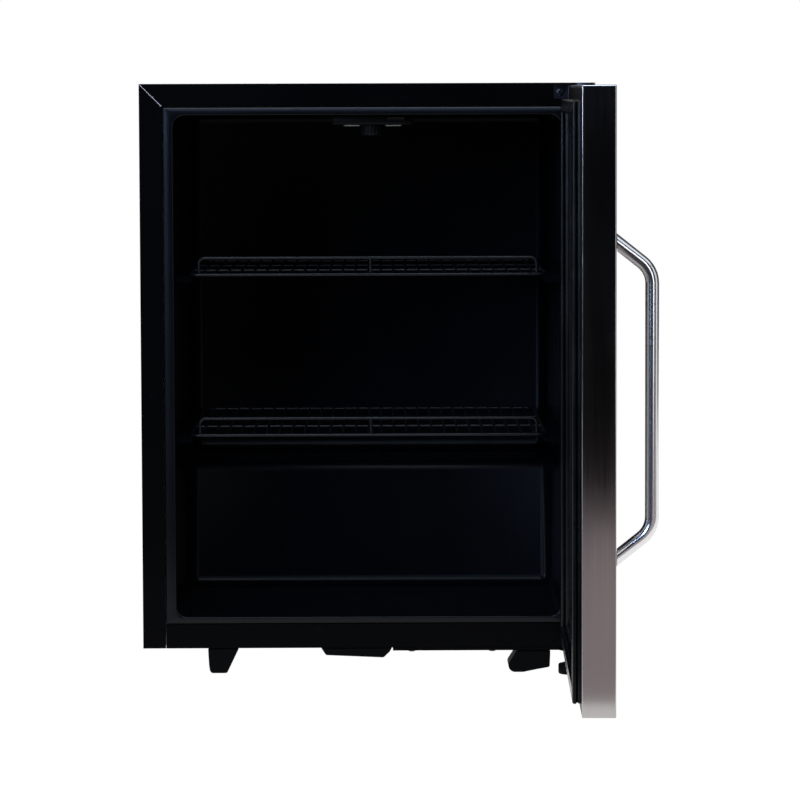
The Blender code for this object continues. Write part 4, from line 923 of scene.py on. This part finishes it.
# %% Brackets, pins, bushes and screws
refine("top_hinge_bracket", 0.0006, DARK_STEEL, segments=3)
for node in ("top_hinge_pin", "bottom_hinge_pin"):
    refine(node, 0.0004, DARK_STEEL)
for node in ("top_hinge_bush", "bottom_hinge_bush"):
    refine(node, 0.0003)
for number in (1, 2):
    low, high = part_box(f"top_hinge_screw_{number}")
    middle = (low + high) / 2
    screw_head(f"top_screw_{number}", (middle.x, low.y + 0.002, middle.z), (0, -1, 0), 0.004,
               0.002, DARK_STEEL, "cabinet", [f"top_hinge_screw_{number}"], 0.0075)
    low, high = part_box(f"bottom_hinge_screw_{number}")
    middle = (low + high) / 2
    screw_head(f"bottom_screw_{number}", (middle.x, middle.y, low.z + 0.002), (0, 0, -1), 0.004,
               0.002, DARK_STEEL, "cabinet", [f"bottom_hinge_screw_{number}"], 0.0075)
print("hinges dressed")

# %% [markdown]
# ## Feet
#
# The fixed feet are moulded rubber with rounded edges. The levelling foot is turned by hand, so
# its rim is knurled, and the stem above it is threaded.

# %% Feet
for node, edge in {"front_foot_left": 0.0018, "front_foot_right": 0.0018,
                   "centre_base_pad": 0.0014, "rear_foot_left": 0.0015,
                   "rear_foot_right": 0.0015}.items():
    refine(node, edge, segments=3)
FOOT_LOW, FOOT_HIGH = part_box("levelling_foot")
foot = (FOOT_LOW + FOOT_HIGH) / 2
wide = (FOOT_HIGH.x - FOOT_LOW.x) / 2
profile = [(0, 0), (wide - 0.0016, 0), (wide - 0.0004, 0.0005), (wide, 0.0018),
           (wide, 0.0095), (wide - 0.0008, 0.0108), (wide * 0.55, 0.0120)]
thread = 0.0120
while thread < FOOT_HIGH.z - 0.0016:
    profile += [(0.0040, thread), (0.0034, thread + 0.0006)]
    thread += 0.0012
profile += [(0.0038, thread), (0.0038, FOOT_HIGH.z), (0, FOOT_HIGH.z)]
turned("levelling_foot_turned", profile, (foot.x, foot.y, 0), RUBBER, BODY_OF["levelling_foot"],
       ["levelling_foot"], steps=120,
       ripple=lambda angle: 1 - 0.012 * (1 + math.cos(30 * angle)) / 2)
print(f"levelling foot {2000 * wide:.0f} mm wide with {len(profile)} profile points")

# %% [markdown]
# ## Machine bay
#
# Behind the step sits the compressor in its tray. The shell is two deep-drawn cups welded at the
# waist. A wire-on-tube condenser covers the back: thin upright wires spot-welded to both sides
# of the pipe, which is what spreads its heat.

# %% Compressor, pipes and condenser
for node, edge in {"compressor_plate": 0.0006, "relay_cover": 0.0012, "evaporation_pan": 0.0006,
                   "condenser_rail_left": 0.0004, "condenser_rail_right": 0.0004,
                   "cord_gland": 0.0004}.items():
    refine(node, edge)
for node in ("compressor_shell", "suction_pipe", "discharge_pipe", "capillary_tube",
             "condenser_coil", "filter_drier", "rubber_mount_1", "rubber_mount_2",
             "rubber_mount_3", "rubber_mount_4"):
    refine(node, 0, smooth=50)

SHELL_LOW, SHELL_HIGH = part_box("compressor_shell")
shell = (SHELL_LOW + SHELL_HIGH) / 2
COVER_LOW, COVER_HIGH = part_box("relay_cover")
stub = [Vector((shell.x + 0.030, SHELL_HIGH.y - 0.016, shell.z + 0.012)),
        Vector((shell.x + 0.038, SHELL_HIGH.y - 0.004, shell.z + 0.012)),
        Vector((shell.x + 0.046, SHELL_HIGH.y + 0.004, shell.z + 0.012))]
wires("service_tube", [(stub, 0.0030, False)], COPPER, "cabinet")
clip_y = sorted((COVER_LOW.y - 0.0006, COVER_HIGH.y + 0.0006))
boxes("relay_clip", [((COVER_LOW.x - 0.0008, clip_y[0], COVER_LOW.z + 0.016),
                      (COVER_LOW.x + 0.0002, clip_y[1], COVER_LOW.z + 0.022)),
                     ((COVER_LOW.x, clip_y[0], COVER_LOW.z + 0.016),
                      (COVER_HIGH.x, clip_y[0] + 0.0006, COVER_LOW.z + 0.022)),
                     ((COVER_LOW.x, clip_y[1] - 0.0006, COVER_LOW.z + 0.016),
                      (COVER_HIGH.x, clip_y[1], COVER_LOW.z + 0.022))],
      ZINC, "cabinet", 0.0002)

COIL_LOW, COIL_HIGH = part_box("condenser_coil")
COIL_ROWS, COIL_WIRE = 44, 0.0007
runs = []
for i in range(COIL_ROWS):
    x = COIL_LOW.x + 0.016 + (COIL_HIGH.x - COIL_LOW.x - 0.050) * i / (COIL_ROWS - 1)
    for y in (COIL_HIGH.y + COIL_WIRE, COIL_LOW.y - COIL_WIRE):
        runs.append(([Vector((x, y, COIL_LOW.z + 0.092)), Vector((x, y, 0.4)),
                      Vector((x, y, COIL_HIGH.z - 0.002))], COIL_WIRE, False))
wires("condenser_wires", runs, COIL_PAINT, "cabinet")
print(f"{len(runs)} condenser wires")

# %% [markdown]
# ## Floor and light
#
# The floor is white near the cabinet. Beyond three quarters of a metre it turns to grey card on
# the door's side and to black on the other, and it ends 2.4 m in front, because the polished door
# edge mirrors whatever lies before it. The sky seen by the lens is plain white. What lights the
# object is quieter: cool boxes at the left draw the upright edges, two boxes high in front draw
# the level ones, and three weak ones at the right light the door's end and the handle.

# %% Floor and light
FLOOR_END = 2.42  # these three are in front of the cabinet
WHITE_END, CARD_START = 0.751, 0.766


def studio_floor():
    shape = bmesh.new()
    box_into(shape, (-3.2, FRONT - FLOOR_END, -0.02), (3.2, FRONT + 6.0, 0.0))
    floor = bpy.data.objects.new("floor", mesh_of(shape, "floor"))
    bpy.context.scene.collection.objects.link(floor)
    made = Finish("floor_white", (0.02, 0.02, 0.02), Roughness=0.9, Specular_IOR_Level=0.0,
                  Emission_Strength=1.0)
    where = made.node("ShaderNodeTexCoord", out="Object")
    split = made.node("ShaderNodeSeparateXYZ", inputs={0: where}, out=1)
    near = made.band(split, FRONT - CARD_START, FRONT - WHITE_END)
    speck = made.noise(3, 2)
    made.tint(speck * 0.1, (0.03, 0.03, 0.03))
    across = made.node("ShaderNodeSeparateXYZ", inputs={0: where}, out=0)
    card = made.node("ShaderNodeMix", {"data_type": "RGBA"}, {
        "Factor": made.band(across, MIDDLE_X, MIDDLE_X + 0.2), 6: (0.01, 0.01, 0.01, 1),
        7: (0.36, 0.31, 0.32, 1)}, out=2)
    glow = made.node("ShaderNodeMix", {"data_type": "RGBA"}, {
        "Factor": near, 6: card, 7: (1, 1, 1, 1)}, out=2)
    made.feed("Emission Color", glow)
    floor.data.materials.append(made.material)


def soft_box(name, where, aim, size, power, colour=(1, 1, 1)):
    light = bpy.data.lights.new(name, "AREA")
    light.shape = "RECTANGLE"
    light.size, light.size_y = size
    light.energy = power
    light.color = colour
    holder = bpy.data.objects.new(name, light)
    bpy.context.scene.collection.objects.link(holder)
    holder.location = where
    holder.rotation_euler = (Vector(aim) - Vector(where)).to_track_quat("-Z", "Y").to_euler()


def studio_sky():
    world = bpy.data.worlds.new("studio")
    bpy.context.scene.world = world
    world.use_nodes = True
    tree = world.node_tree
    tree.nodes.clear()
    ray = tree.nodes.new("ShaderNodeLightPath")
    way = tree.nodes.new("ShaderNodeTexCoord")
    split = tree.nodes.new("ShaderNodeSeparateXYZ")
    tree.links.new(way.outputs["Generated"], split.inputs[0])
    level = tree.nodes.new("ShaderNodeMapRange")
    for key, value in {"From Min": 0.35, "From Max": 0.85, "To Min": 0.001, "To Max": 0.16}.items():
        level.inputs[key].default_value = value
    tree.links.new(split.outputs["Y"], level.inputs["Value"])
    mixed = tree.nodes.new("ShaderNodeMix")
    mixed.inputs["B"].default_value = 1.0
    tree.links.new(ray.outputs["Is Camera Ray"], mixed.inputs["Factor"])
    tree.links.new(level.outputs["Result"], mixed.inputs["A"])
    sky = tree.nodes.new("ShaderNodeBackground")
    sky.inputs["Color"].default_value = (1, 1, 1, 1)
    tree.links.new(mixed.outputs["Result"], sky.inputs["Strength"])
    end = tree.nodes.new("ShaderNodeOutputWorld")
    tree.links.new(sky.outputs[0], end.inputs[0])


studio_floor()
studio_sky()
COOL = (0.74, 0.86, 1.0)
BLUE = (0.42, 0.60, 1.0)
soft_box("high_front", (-0.1, -1.9, 2.35), (0, 0.1, 0.5), (1.5, 0.7), 32, COOL)
soft_box("far_top", (-0.3, -4.6, 2.6), (-0.1, 0, 0.6), (2.0, 0.7), 24, BLUE)
soft_box("far_left", (-2.1, -4.1, 1.25), (-0.23, 0, 0.55), (1.2, 1.2), 52, BLUE)
soft_box("left_strip", (-2.5, -1.7, 1.25), (0, -0.2, 0.5), (0.5, 1.5), 45, COOL)
soft_box("right_front", (1.45, -3.2, 1.1), (0.2, -0.4, 0.5), (0.8, 2.2), 12, (0.94, 0.96, 1.0))
soft_box("right_fill", (2.6, -0.9, 0.8), (0.2, -0.4, 0.4), (1.5, 1.8), 8, (0.90, 0.94, 1.0))
soft_box("right_top", (1.5, -0.7, 2.0), (0.25, -0.43, 0.4), (1.4, 1.4), 7, (0.84, 0.90, 1.0))
bpy.context.scene.view_settings.view_transform = "Standard"
print("stage lit")
